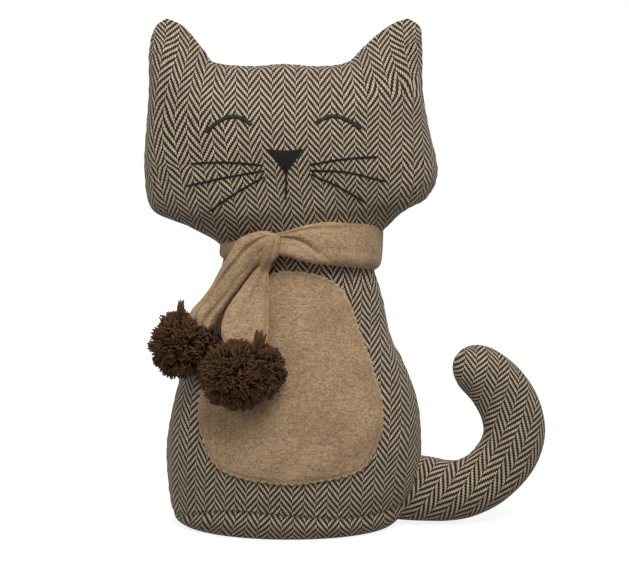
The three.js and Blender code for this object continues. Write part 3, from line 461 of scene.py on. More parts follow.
def cloth_of_base(points):
    """The base panel's columns run from front to back, so a column is counted by x, and lines by the length
    from the seam. At the left the columns slant a little near the seam."""
    steps = np.linalg.norm(np.diff(points, axis=0), axis=-1)
    down = np.concatenate([np.zeros((1, points.shape[1])), np.cumsum(steps, axis=0)])
    slant = BASE_SLANT * np.clip(down, 0, BASE_SLANT_REACH) * np.clip((6 - points[..., 0]) / 60, 0, 1)
    column = (points[..., 0] + slant - BASE_COLUMN_X) / BASE_COLUMN_WIDTH + 2
    return np.stack([column, down / LINE_PITCH + BASE_FIRST_LINE], axis=-1)


def build_cover():
    """All four grids of the cover in one mesh: front, back, and the two halves of the base."""
    s = cover_rows()[:, None]
    t = np.linspace(0, 1, SIDE_STEPS)[None]
    points, faces, cloth, count = [], [], [], 0
    for side in (-1, 1):
        panel = cover(s, t, side)
        panel[:, [0, -1], 1] = 0
        panel[-1, :, 1] = 0
        base = base_points(side)
        base[:, [0, -1], 1] = 0
        for grid, laid in ((panel, cloth_of_panel(panel, side)), (base, cloth_of_base(base))):
            around = grid_faces(grid.shape[0], grid.shape[1], count)
            turned = (side > 0) == (grid is panel)
            faces.append(around[:, ::-1] if turned else around)
            points.append(grid.reshape(-1, 3))
            cloth.append(laid.reshape(-1, 2))
            count += grid.shape[0] * grid.shape[1]
    return np.concatenate(points), np.concatenate(faces), np.concatenate(cloth)


points, faces, cloth = build_cover()
body_cover = make_piece("body_cover", points, faces, cloth)
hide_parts("front_panel", "back_panel", "base_panel")

# %% [markdown]
# ## The tail
# The tail is two flat cut shapes, sewn and stuffed, and its near end is sewn into the body's side seam. A
# centreline with a width carries an oval section from the root to a rounded tip.

# %% Centreline and sections of the tail
TAIL_DEPTH, TAIL_TIP_LENGTH, TAIL_PLANE_Y = 28, 20, -6
TAIL_COLUMN_WIDTH = 6.95
TAIL_STEPS, TIP_STEPS, TAIL_SIDES = 110, 30, 56
TAIL_ROWS = np.array([
    (62, 21.8, 39), (77.5, 20.9, 39), (91.8, 19.6, 36.6), (104, 21.2, 35), (117, 28.3, 34.8),
    (128.2, 41.6, 36.2), (132.3, 55.5, 36.8), (129.4, 69.8, 36.2), (122.4, 81.6, 34.6),
    (114.8, 89.3, 32.4), (106.4, 95, 30.2), (96.6, 100.4, 27.4),
])
TAIL_LINE = TAIL_ROWS[:, :2]
TAIL_LENGTHS = run_lengths(TAIL_LINE)
TAIL_COLUMN_LINE = [(120, 131.4), (106, 130.4), (94, 128.8), (82.3, 126.3), (70.5, 122.6), (58.7, 118),
                    (46.9, 112.6), (35.1, 106.6), (23.3, 99.8), (11.5, 92.3), (0, 84.5)]


def tail_surface(share, t, face):
    """Points of the tail and where each lay on the flat cut. Across is measured from the centreline: over the
    stuffed oval for the points, and along the oval's own curve for the flat cut."""
    total = TAIL_LENGTHS[-1]
    index = np.interp(share * total, TAIL_LENGTHS, np.arange(len(TAIL_LINE)))
    middle, ahead = through(TAIL_LINE, index), through(TAIL_LINE, index + 0.01)
    way = ahead - middle
    way /= np.linalg.norm(way, axis=1, keepdims=True)
    sideways = np.stack([-way[:, 1], way[:, 0]], axis=1)
    to_tip = total * (1 - share)
    round_off = np.sqrt(np.clip(1 - np.clip(1 - to_tip / TAIL_TIP_LENGTH, 0, 1) ** 2.7, 0, 1))
    wide = through(TAIL_ROWS[:, 2:], index)[:, 0] / 2 * round_off
    deep = TAIL_DEPTH / 2 * round_off
    angle = np.pi * t
    across = -np.cos(angle)[None] * wide[:, None]
    out = np.sin(angle)[None] ** 0.92 * deep[:, None]
    from_seam = np.minimum(t, 1 - t)[None] * 60
    soft = 0.5 * bump_at(from_seam - 3, 2.4) * np.clip(from_seam / 2, 0, 1)
    lump = 0.7 * np.sin(share * 19)[:, None] * np.sin(angle * 2 + 1)[None] * np.clip(from_seam / 12, 0, 1)
    out = out + (soft + lump) * round_off[:, None]
    x = middle[:, :1] + sideways[:, :1] * across
    z = middle[:, 1:] + sideways[:, 1:] * across
    points = np.stack([x, TAIL_PLANE_Y + face * out, z], axis=-1)
    steps = np.hypot(np.diff(across, axis=1), np.diff(out, axis=1))
    flat = np.concatenate([np.zeros((len(share), 1)), np.cumsum(steps, axis=1)], axis=1)
    flat -= flat[:, flat.shape[1] // 2][:, None]
    flat_x = middle[:, :1] + sideways[:, :1] * flat
    flat_z = middle[:, 1:] + sideways[:, 1:] * flat
    return points, flat_x, flat_z


def cloth_of_tail(flat_x, flat_z):
    """The tail's columns lean about 20 degrees. One column line is given, and the others run beside it."""
    line = np.array(TAIL_COLUMN_LINE)[::-1]
    index = np.interp(flat_z.ravel(), line[:, 0], np.arange(len(line)))
    at, later = through(line, index), through(line, np.minimum(index + 0.02, len(line) - 1.001))
    rise = later - at
    lean = np.where(np.abs(rise[:, 0]) > 1e-6, rise[:, 1] / np.where(rise[:, 0] == 0, 1, rise[:, 0]), 0)
    lean = lean.reshape(flat_x.shape)
    beside = flat_x - at[:, 1].reshape(flat_x.shape)
    stretch = 1 / np.sqrt(1 + lean**2)
    line_number = (flat_z + lean * beside) * stretch / LINE_PITCH
    return np.stack([beside * stretch / TAIL_COLUMN_WIDTH, line_number], axis=-1)


def build_tail():
    """The front and back of the tail, closed at its hidden root by a flat end."""
    tip_from = 1 - TAIL_TIP_LENGTH / TAIL_LENGTHS[-1]
    share = np.concatenate([np.linspace(0, tip_from, TAIL_STEPS, endpoint=False),
                            mix(tip_from, 1, np.sin(np.linspace(0, np.pi / 2, TIP_STEPS)))])
    t = np.linspace(0, 1, TAIL_SIDES)
    points, faces, cloth, count = [], [], [], 0
    for face in (-1, 1):
        grid, flat_x, flat_z = tail_surface(share, t, face)
        around = grid_faces(*grid.shape[:2], count)
        faces.extend((around if face < 0 else around[:, ::-1]).tolist())
        points.append(grid.reshape(-1, 3))
        cloth.append(cloth_of_tail(flat_x, flat_z).reshape(-1, 2))
        count += len(points[-1])
    half = count // 2
    faces.append(list(range(len(t)))[::-1] + [half + k for k in range(1, len(t) - 1)])
    return np.concatenate(points), faces, np.concatenate(cloth)


points, faces, cloth = build_tail()
tail_cover = make_piece("tail_cover", points, faces, cloth)
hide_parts("tail_front_panel", "tail_back_panel")

# %% [markdown]
# ## Finding a place on the front cloth
# Embroidery and patch are laid on the front panel by the x and z where they are seen. A few corrections find
# the station and share that belong to them: start at the nearest point of a coarse grid, and step by the
# slope of the surface until x and z agree.


# %% Laying points on the front cloth
def front_place(x, z):
    """Station and share of the front panel that lie at given x and z."""
    x, z = np.asarray(x, float).ravel(), np.asarray(z, float).ravel()
    s, t = np.meshgrid(np.linspace(0, TOP_STATION, 61), np.linspace(0.03, 0.97, 41), indexing="ij")
    coarse = plain_surface(s, t, -1).reshape(-1, 3)
    away = (coarse[None, :, 0] - x[:, None]) ** 2 + (coarse[None, :, 2] - z[:, None]) ** 2
    near = away.argmin(axis=1)
    s, t = s.ravel()[near], t.ravel()[near]
    step = 1e-3
    for _ in range(8):
        here = plain_surface(s, t, -1)
        along = (plain_surface(s + step, t, -1) - here) / step
        across = (plain_surface(s, t + step, -1) - here) / step
        det = along[:, 0] * across[:, 2] - across[:, 0] * along[:, 2]
        dx, dz = x - here[:, 0], z - here[:, 2]
        s = np.clip(s + (across[:, 2] * dx - across[:, 0] * dz) / det, 0.02, TOP_STATION - 0.05)
        t = np.clip(t + (along[:, 0] * dz - along[:, 2] * dx) / det, 0.01, 0.99)
    return s, t


def on_front(x, z, lift):
    """Points a given height above the front cloth over x and z, and the outward directions there."""
    shape = np.broadcast(x, z, lift).shape
    x, z, lift = (np.broadcast_to(v, shape).ravel() for v in (x, z, lift))
    s, t = front_place(x, z)
    out = outward(plain_surface, s, t, -1)
    points = cover(s, t, -1) + out * lift[:, None]
    return points.reshape(shape + (3,)), out.reshape(shape + (3,))


# %% [markdown]
# ## The belly patch
# A patch of plush is laid on the belly and sewn down all round with an overlock, which puckers its edge
# into small scallops. Its shape is half widths at a few heights, mirrored and smoothed. The surface runs
# from the middle to the rim over the top and back underneath, so that it is a thin closed pad.

# %% Outline and surface of the patch
PATCH_HEIGHT, PATCH_WIDTH, PATCH_BOTTOM_Z, PATCH_MIDDLE_X = 120.6, 107.4, 34.4, -1
PATCH_SHAPE = [(0, 0), (0.04, 0.66), (0.14, 0.9), (0.32, 1), (0.5, 0.91), (0.68, 0.77), (0.84, 0.64),
               (0.95, 0.45), (1, 0)]
PATCH_PILE = 2.4
PATCH_SIDES, FAR_RINGS, NEAR_RINGS, NEAR_RIM = 336, 26, 24, 6.5
PUCKERS = 84


def patch_outline(count):
    """Even points round the patch: the half shape and its mirror image, smoothed into one loop."""
    right = [(PATCH_MIDDLE_X + wide * PATCH_WIDTH / 2, PATCH_BOTTOM_Z + high * PATCH_HEIGHT)
             for high, wide in PATCH_SHAPE]
    left = [(2 * PATCH_MIDDLE_X - x, z) for x, z in right[::-1]][1:-1]
    loop = np.array(right + left)
    again = np.vstack([loop[-2:], loop, loop[:3]])
    fine = through(again, np.linspace(2, len(loop) + 2, 2000))
    lengths = run_lengths(fine)
    even = np.linspace(0, lengths[-1], count, endpoint=False)
    return np.stack([np.interp(even, lengths, fine[:, k]) for k in (0, 1)], axis=1), lengths[-1]


def build_patch():
    """Rings from the middle to the rim on top, then back under it. Near the rim a 2 mm border is held down
    by its stitching: it has a raised edge with PUCKERS scallops, and inside it a slight groove in the upper
    half of the patch. The plush is full behind."""
    edge, length = patch_outline(PATCH_SIDES)
    angle = np.arange(PATCH_SIDES) / PATCH_SIDES * 2 * np.pi
    scallop = np.sin(angle * PUCKERS + 0.8 * np.sin(angle * 7))
    middle = np.array([PATCH_MIDDLE_X, PATCH_BOTTOM_Z + PATCH_HEIGHT * 0.45])
    radius = np.linalg.norm(edge - middle, axis=1)
    far = np.linspace(1, 0.16, FAR_RINGS) * radius.min() * 0.999
    near = np.linspace(NEAR_RIM, 0, NEAR_RINGS)
    rings, maps = [], []

    def ring_at(share):
        """x and z of a ring at a share of the way from the middle to the edge."""
        return middle + (edge - middle) * share[:, None]

    def lay(spot, lift, depth):
        """Adds a ring at a height over the cloth, and its map: length along the rim, and depth from it."""
        rings.append(on_front(spot[:, 0], spot[:, 1], lift)[0])
        maps.append(np.stack([angle / (2 * np.pi) * length, np.full(PATCH_SIDES, depth)], axis=1))

    for k, depth in enumerate(np.concatenate([far, near])):
        share = 1 - depth / radius if k >= FAR_RINGS else np.full(PATCH_SIDES, 1 - depth / radius.min())
        share = np.where(share < 0, 0, share)
        spot = ring_at(share * (1 + 0.5 * scallop / radius * bump_at(depth, 2)))
        held = np.clip((spot[:, 1] - 100) / 30, 0, 1)
        rise = PATCH_PILE * np.clip(depth / 4, 0, 1) ** 0.5
        rise = rise + (0.4 + 0.35 * scallop) * bump_at(depth - 1, 0.8)
        lay(spot, rise - 0.35 * held * bump_at(depth - 2.6, 0.8) + 0.1, depth)
    for depth in (3, 12):
        lay(ring_at(np.clip(1 - depth / radius, 0, 1)), 0.05, depth)
    lay(ring_at(np.zeros(PATCH_SIDES)), 0.05, radius.min())
    rings, maps = np.array(rings), np.array(maps)
    return rings, grid_faces(len(rings), PATCH_SIDES, close_columns=True), maps


points, faces, cloth = build_patch()
belly_patch = make_piece("belly_patch_plush", points, faces, cloth)
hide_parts("belly_patch")

# %% [markdown]
# ## Thread on cloth
# Embroidery is thread laid on the cloth in one direction. Each stroke is a low rounded strip along a curve
# on the face, with the cloth map running along it, so that the material can draw the twist of the thread.


# %% Strokes of embroidery
STROKE_STEPS, STROKE_SIDES, STROKE_TAPER = 60, 9, 0.35


def stroke(rows, width, rise):
    """A closed strip along a curve: across it the height follows half an ellipse, and both ends taper."""
    index = np.linspace(0, len(rows) - 1, STROKE_STEPS)
    line = through(rows, index)
    ahead = through(rows, np.minimum(index + 0.02, len(rows) - 1))
    back = through(rows, np.maximum(index - 0.02, 0))
    way = ahead - back
    way /= np.linalg.norm(way, axis=1, keepdims=True)
    normal = np.stack([-way[:, 1], way[:, 0]], axis=1)
    share = np.linspace(0, 1, STROKE_STEPS)
    full = np.clip(np.minimum(share, 1 - share) / 0.06, 0, 1) ** 0.5
    wide = width / 2 * mix(STROKE_TAPER, 1, full)
    angle = np.linspace(0, np.pi, STROKE_SIDES)
    across = np.cos(angle)[None] * wide[:, None]
    lift = np.sin(angle)[None] * (rise * mix(0.4, 1, full))[:, None] - 0.15
    x, z = line[:, :1] + normal[:, :1] * across, line[:, 1:] + normal[:, 1:] * across
    over, _ = on_front(x, z, lift)
    under, _ = on_front(x[:, ::-1], z[:, ::-1], -0.5)
    ring = np.concatenate([over, under[:, 1:-1]], axis=1)
    run = run_lengths(line)
    count = ring.shape[1]
    turn = np.arange(count) / count
    cloth = np.stack(np.broadcast_arrays(run[:, None], turn[None] * np.pi * width), axis=-1)
    faces = grid_faces(STROKE_STEPS, count, close_columns=True).tolist() + end_faces(STROKE_STEPS, count)
    return ring.reshape(-1, 3), faces, cloth.reshape(-1, 2)


NOSE_X, NOSE_TOP_Z, NOSE_WIDTH, NOSE_HEIGHT = -4, 226, 20.5, 14
MOUTH_TOP_Z = NOSE_TOP_Z - NOSE_HEIGHT - 1
EYE_WIDTH, EYE_RISE = 2.5, 0.95
FINE_WIDTH, MOUTH_RISE, WHISKER_RISE = 1.4, 0.9, 0.85
STROKES = {
    "eye_left": (EYE_WIDTH, EYE_RISE,
                 [(-49.8, 235), (-42.8, 240.6), (-35.6, 243.8), (-28.6, 242.9), (-22.8, 239.3)]),
    "eye_right": (EYE_WIDTH, EYE_RISE,
                  [(12.8, 240.3), (19.6, 243.6), (25.5, 244.2), (32.5, 241.6), (39.8, 237.2)]),
    "mouth": (FINE_WIDTH, MOUTH_RISE,
              [(NOSE_X + 0.6, MOUTH_TOP_Z + 2), (NOSE_X + 0.6, MOUTH_TOP_Z - 6.5), (NOSE_X + 0.2, 197)]),
    "whisker_left_upper": (FINE_WIDTH, WHISKER_RISE, [(-16.1, 216.6), (-38.4, 218.2), (-58.8, 217)]),
    "whisker_left_middle": (FINE_WIDTH, WHISKER_RISE, [(-15.6, 213.6), (-38.4, 209.4), (-61, 204)]),
    "whisker_left_lower": (FINE_WIDTH, WHISKER_RISE, [(-15.9, 210), (-31.6, 201), (-48, 189.6)]),
    "whisker_right_upper": (FINE_WIDTH, WHISKER_RISE, [(9.3, 216.7), (27.4, 219.8), (49.8, 221.2)]),
    "whisker_right_middle": (FINE_WIDTH, WHISKER_RISE, [(9.6, 213.7), (31.4, 212.4), (53.6, 206.8)]),
    "whisker_right_lower": (FINE_WIDTH, WHISKER_RISE, [(10.4, 211.7), (27.4, 203.8), (43.4, 194)]),
}
embroidery = []
for node, (width, rise, rows) in STROKES.items():
    points, faces, cloth = stroke(np.array(rows, float), width, rise)
    thread = make_piece(node + "_thread", points, faces, cloth)
    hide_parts(node)
    embroidery.append(thread)

# %% [markdown]
# ## The nose
# The nose is a triangle filled with satin stitch: threads side by side from the top edge down to the tip. A
# three-sided patch of cloth map with a rounded rise gives the pad, and the material draws the threads.


# %% Satin-stitched nose
NOSE_ROWS, NOSE_COLUMNS, NOSE_RISE, NOSE_EDGE = 26, 33, 1.1, 1.6


def build_nose():
    """Rows from the top edge to the tip, each as wide as the triangle is there. The rise follows a rounded
    profile over the last NOSE_EDGE mm towards every edge."""
    rows, columns = NOSE_ROWS, NOSE_COLUMNS
    down = np.linspace(0, 1, rows)[:, None]
    side = np.linspace(-1, 1, columns)[None]
    half_width = NOSE_WIDTH / 2 * (1 - down) ** 0.93 + 0.35
    x = NOSE_X + side * half_width + 0.5 * down
    z = NOSE_TOP_Z - NOSE_HEIGHT * down - 0.7 * (1 - side**2) * (1 - down) + 0.25 * np.abs(side)
    edge = np.minimum((1 - np.abs(side)) * half_width, np.minimum(down, 1.02 - down) * NOSE_HEIGHT)
    rise = NOSE_RISE * np.clip(edge / NOSE_EDGE, 0, 1) ** 0.5
    over, _ = on_front(x, z, rise - 0.1)
    under, _ = on_front(x, z, -0.5)
    points = np.concatenate([over.reshape(-1, 3), under.reshape(-1, 3)])
    count = rows * columns
    top = grid_faces(rows, columns)
    rim = np.concatenate([np.arange(columns), np.arange(1, rows) * columns + columns - 1,
                          (rows - 1) * columns + np.arange(columns - 2, -1, -1),
                          np.arange(rows - 2, 0, -1) * columns])
    ahead = np.roll(rim, -1)
    walls = np.stack([rim, rim + count, ahead + count, ahead], axis=1)
    faces = np.concatenate([top, top[:, ::-1] + count, walls])
    cloth = np.stack(np.broadcast_arrays(NOSE_HEIGHT * down, side * NOSE_WIDTH / 2 + 3 * down), axis=-1)
    cloth = np.concatenate([cloth.reshape(-1, 2)] * 2)
    return points, faces, cloth


points, faces, cloth = build_nose()
nose = make_piece("nose_thread", points, faces, cloth)
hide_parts("nose")
embroidery.append(nose)

# %% [markdown]
# ## The scarf
# The scarf is one strip of plush, wrapped once round the neck and crossed at the left. Folded cloth shows
# as long rolls with sharp creases between them. So each part is a path with a flattened round section, and
# the section's outer side carries a few rolls whose creases wander along the path.

# %% A rolled strip along a path
BAND_HEIGHT, BAND_THICK, BAND_WIDTH, BAND_DEPTH, BAND_MIDDLE_X = 25, 13, 97, 80, 5
BAND_RIGHT_Z, BAND_LEFT_Z, BAND_FRONT_RISE, BAND_LEAN = 168.7, 165, 5, 2.6
BAND_SHARE_RIGHT, BAND_SHARE_LEFT = 1.34, 0.55
PINCH_X, PINCH_WIDTH, PINCH_SHARE = -11, 15, 0.36
BAND_RADIUS = (BAND_WIDTH - BAND_THICK) / 2
SOFT_SQUARE, BAND_SQUARE, KNOT_SQUARE = 2.6, 4.5, 1.8
BAND_CREASES = [
    ([-12, -6, 2, 7, 12, 15, 24], [0.5, 0.5, 0.24, 0.03, -0.26, -0.48, -0.9], 0.1,
     [0.35, 0.45, 0.5, 0.5, 0.45, 0.3, 0]),
    ([-12, 2, 13, 28, 36, 46], [0.75, 0.68, 0.64, 0.56, 0.5, 0.45], 0.08,
     [0.25, 0.34, 0.32, 0.24, 0.12, 0]),
    ([-12, 5, 20, 34, 50], [-0.9, -0.85, -0.3, -0.35, -0.5], 0.14, [0, 0, 0.1, 0.12, 0.1]),
]


def rolled(across, creases=(), square=SOFT_SQUARE):
    """Outer height of a rolled strip, as a share of its thickness, at across from -1 to 1. It is a rounded
    rectangle, and each crease (place, width, depth) cuts a soft notch into it. A larger square is flatter."""
    height = np.clip(1 - np.abs(across) ** square, 0, 1) ** 0.5
    for place, width, depth in creases:
        height = height * (1 - depth * bump_at(across - place, width))
    return height


def hanging_end(rows, creases, steps=110, sides=80, square=SOFT_SQUARE):
    """A closed roll on the cat's front. Rows are x and z of the left edge, x and z of the right edge, then y
    of the middle and half the thickness. Creases are (places, width, depths), with one place and one depth
    for each row. A larger square is flatter."""
    index = np.linspace(0, len(rows) - 1, steps)
    row = through(rows, index)
    here = np.stack([row[:, 0] + row[:, 2], 2 * row[:, 4], row[:, 1] + row[:, 3]], axis=1) / 2
    half = np.stack([row[:, 2] - row[:, 0], np.zeros(steps), row[:, 3] - row[:, 1]], axis=1) / 2
    way = np.gradient(here, axis=0)
    out = np.cross(half, way)
    out /= np.linalg.norm(out, axis=1, keepdims=True)
    out *= -np.sign(out[:, 1:2])
    angle = np.linspace(0, 2 * np.pi, sides, endpoint=False)
    across = np.cos(angle)[None]
    cuts = [(through(np.array(places)[:, None], index), width, through(np.array(depths)[:, None], index))
            for places, width, depths in creases]
    height = np.where(np.sin(angle)[None] >= 0, rolled(across, cuts, square), -rolled(across)) * row[:, 5:]
    ends = np.clip(np.minimum(np.arange(steps), np.arange(steps)[::-1]) / 5, 0, 1)[:, None] ** 0.5
    wave = 0.35 * np.sin(index * 3.1 + 1)[:, None] * np.sin(across * 2.4)
    ring = here[:, None] + half[:, None] * (across * ends)[..., None]
    ring = ring + out[:, None] * ((height + wave) * ends)[..., None]
    sideways = across * np.linalg.norm(half, axis=1)[:, None]
    cloth = np.stack(np.broadcast_arrays(run_lengths(here)[:, None], sideways), axis=-1)
    faces = grid_faces(steps, sides, close_columns=True).tolist() + end_faces(steps, sides)
    return ring.reshape(-1, 3), faces, cloth.reshape(-1, 2)


def neck_band(steps=260, sides=72):
    """The band round the neck: a closed ring whose section is tall and flat. At the right it is a wide folded
    strip. Towards the crossing at the left it is pinched, and its creases run together there."""
    a = np.linspace(0, 2 * np.pi, steps, endpoint=False)[:, None]
    leftness = (1 - np.cos(a)) / 2
    frontness = np.clip(-np.sin(a), 0, None)
    along_x = BAND_MIDDLE_X + BAND_WIDTH / 2 * np.cos(a)
    pinch = bump_at(along_x - PINCH_X, PINCH_WIDTH) * np.clip(frontness * 2, 0, 1)
    high = BAND_HEIGHT / 2 * mix(BAND_SHARE_RIGHT, BAND_SHARE_LEFT, leftness) * (1 - PINCH_SHARE * pinch)
    thick = BAND_THICK / 2
    level_z = mix(BAND_RIGHT_Z, BAND_LEFT_Z, leftness) + BAND_FRONT_RISE * frontness
    b = np.linspace(0, 2 * np.pi, sides, endpoint=False)[None]
    tall = np.sin(b)
    seen = np.clip(frontness * 1.6, 0, 1)
    cuts = []
    for crease_x, places, width, depths in BAND_CREASES:
        place, depth = (np.interp(along_x.ravel(), crease_x, v)[:, None] for v in (places, depths))
        cuts.append((place, width, depth * seen))
    out = np.where(np.cos(b) >= 0, rolled(tall, cuts, BAND_SQUARE), -rolled(tall)) * thick
    out = out + 0.4 * np.sin(a * 9 + tall * 2) * (np.cos(b) > 0) * np.clip(1 - tall**2, 0, 1)
    x = BAND_MIDDLE_X + (BAND_WIDTH / 2 - thick + out) * np.cos(a)
    y = (BAND_DEPTH / 2 - thick + out - BAND_LEAN * tall * seen) * np.sin(a)
    z = level_z + high * tall
    ring = np.stack(np.broadcast_arrays(x, y, z), axis=-1)
    cloth = np.stack(np.broadcast_arrays(a * BAND_RADIUS, tall * high), axis=-1)
    faces = grid_faces(steps, sides, close_rows=True, close_columns=True)
    return ring.reshape(-1, 3), faces, cloth.reshape(-1, 2)


# %% Band, side end and front end in one scarf
SIDE_END = [
    (-9.4, 178, -6.1, 175.1, -37.5, 3),
    (-19.2, 178.8, -12.6, 167.3, -38.5, 4.6),
    (-30.8, 174.1, -17.6, 161.6, -36.5, 5.4),
    (-35.9, 166.3, -23.4, 155.2, -35, 5.6),
    (-41.4, 157, -30.5, 145.5, -34, 5.6),
    (-46.8, 146.9, -35.1, 139.1, -33.8, 5.6),
    (-52.3, 139.3, -39.8, 131.9, -34, 5.4),
    (-57.8, 133.3, -42.7, 127.2, -34.5, 5.2),
    (-61.2, 126.6, -46.1, 122.2, -35, 5),
    (-63, 120, -51, 117, -35, 4),
]
KNOT_FOLD = [
    (-13, 178.4, -6, 176.4, -37, 3),
    (-16, 174.8, -7, 170.6, -38.6, 5.2),
    (-17.6, 168.9, -8.2, 164.8, -38.8, 5.2),
    (-19, 162.6, -11.6, 159.8, -36.6, 4.2),
    (-20.4, 154.6, -14, 153, -33.8, 3),
    (-21.5, 147, -16.5, 146, -32, 2),
]
KNOT_CREASES = [([0.3, 0.3, 0.35, 0.4, 0.4, 0.4], 0.2, [0.1, 0.2, 0.25, 0.2, 0.1, 0])]
SIDE_CREASES = [
    ([-0.4, -0.35, -0.24, -0.3, -0.48, -0.6, -0.6, -0.5, -0.4, -0.4], 0.13,
     [0.1, 0.35, 0.5, 0.5, 0.5, 0.4, 0.3, 0.35, 0.4, 0.4]),
    ([0.5, 0.55, 0.55, 0.6, 0.5, 0.4, 0.3, 0.25, 0.3, 0.3], 0.16,
     [0.1, 0.12, 0.1, 0.08, 0.1, 0.2, 0.3, 0.4, 0.4, 0.4]),
]
FRONT_END = [
    (-18, 170, -13, 169, -35, 2.4),
    (-18.4, 161, -14.4, 160.8, -35, 2.8),
    (-23.6, 153.9, -13.6, 154.3, -35.5, 3.4),
    (-30.5, 144.3, -13.3, 143.1, -37.5, 3.6),
    (-38.6, 132.6, -13.3, 132.1, -41.5, 3.8),
    (-40.9, 121.6, -13.4, 121.5, -46, 4),
    (-38, 112, -15, 113, -51, 4),
]
FRONT_CREASES = [
    ([0.4, 0.35, 0.25, 0.1, -0.1, -0.25, -0.3], 0.24, [0, 0.15, 0.4, 0.5, 0.45, 0.4, 0.4]),
    ([0.84, 0.84, 0.84, 0.86, 0.88, 0.88, 0.88], 0.06, [0.1, 0.3, 0.5, 0.5, 0.5, 0.5, 0.5]),
    ([-0.5, -0.5, -0.5, -0.52, -0.5, -0.45, -0.4], 0.16, [0, 0, 0.1, 0.15, 0.1, 0.25, 0.4]),
]


def join(parts):
    """Several (points, faces, cloth) in one, with the corner numbers moved on."""
    points, faces, cloth, count = [], [], [], 0
    for part_points, part_faces, part_cloth in parts:
        points.append(part_points)
        cloth.append(part_cloth)
        faces += [[corner + count for corner in face] for face in np.asarray(part_faces, object).tolist()]
        count += len(part_points)
    return np.concatenate(points), faces, np.concatenate(cloth)


scarf_parts = [neck_band(), hanging_end(SIDE_END, SIDE_CREASES), hanging_end(FRONT_END, FRONT_CREASES),
               hanging_end(KNOT_FOLD, KNOT_CREASES, steps=60, sides=48, square=KNOT_SQUARE)]
points, faces, cloth = join(scarf_parts)
scarf = make_piece("scarf_plush", points, faces, cloth)
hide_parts("scarf")

# %% [markdown]
# ## Pompoms
# A pompom is hundreds of yarn ends tied in the middle and trimmed into a ball. Each end here is a thin bent
# tube with four sides. Ends lean together in small clumps and differ in length, which gives the ragged
# outline and the dark gaps. A few loose tufts stand out of each ball.

# %% Yarn ends round a middle
POMPOMS = {
    "side_pompom": [((-64, -35, 112), (39.5, 37, 39.8), 2600), ((-48.5, -42, 113.5), (19, 18, 24), 420)],
    "front_pompom": [((-31.5, -63, 99), (46, 37, 42.5), 2500), ((-16.5, -62, 102), (28, 32, 34), 1300)],
}
TUFTS = {
    "side_pompom": [((-64, -38, 126), (-64.3, -38, 138), 1.7, 20),
                    ((-68, -36, 125), (-74.5, -36, 129), 1.8, 14),
                    ((-45, -44, 117), (-40.5, -43, 131), 1.2, 22)],
    "front_pompom": [((-21.5, -70, 113), (-18, -65, 123), 2.6, 34)],
}
YARN, YARN_SWELL = 0.56, [0.7, 0.85, 1, 1.1, 0.75]
LOOSE_BEND, CLOTH_GAP = 0.3, 2.6
rng = np.random.default_rng(7)


def even_directions(count):
    """Directions spread evenly over a ball: equal steps of height, and a golden angle between neighbours."""
    k = np.arange(count) + 0.5
    up = 1 - 2 * k / count
    turn = np.pi * (1 + 5**0.5) * k
    flat = np.sqrt(1 - up**2)
    return np.stack([flat * np.cos(turn), flat * np.sin(turn), up], axis=1)


def cloth_depth(x, z):
    """y of the front cloth over x and z in the body's middle part, and 0 outside its width."""
    heights = (STATIONS[:, 1] + STATIONS[:, 3]) / 2
    row = through(STATIONS, np.interp(z, heights, np.arange(len(STATIONS))))
    u = np.clip((x - row[:, 0]) / (row[:, 2] - row[:, 0]), 0, 1)
    return -row[:, 4] / 2 * np.clip(np.sin(np.arccos(1 - 2 * u)), 0, 1) ** 0.9


def ball_ends(middle, sizes, count):
    """Start and end of each yarn end of a ball, from a third of the radius out to its surface, which is an
    ellipsoid with some ends longer than others. Ends of one clump lean together."""
    way = even_directions(count) + rng.normal(0, 0.1, (count, 3))
    way /= np.linalg.norm(way, axis=1, keepdims=True)
    clumps = even_directions(count // 9) + rng.normal(0, 0.05, (count // 9, 3))
    nearest = (way @ clumps.T).argmax(axis=1)
    tip_way = way + 0.42 * (clumps[nearest] - way) + rng.normal(0, 0.07, (count, 3))
    tip_way /= np.linalg.norm(tip_way, axis=1, keepdims=True)
    half = np.array(sizes) / 2
    clump_reach = rng.uniform(0.9, 1.05, len(clumps))[nearest]
    reach = 1 / np.linalg.norm(tip_way / half, axis=1) * clump_reach * rng.uniform(0.84, 1.03, count)
    return np.array(middle) + way * half.min() * 0.3, np.array(middle) + tip_way * reach[:, None]


def tuft_ends(root, tip, spread, count):
    """Start and end of each yarn end of a tuft, which fans out from its root to a ragged tip."""
    root, tip = np.array(root, float), np.array(tip, float)
    start = root + rng.normal(0, 0.5 * spread, (count, 3))
    end = root + (tip - root) * rng.uniform(0.75, 1.05, (count, 1)) + rng.normal(0, 0.6 * spread, (count, 3))
    return start, end


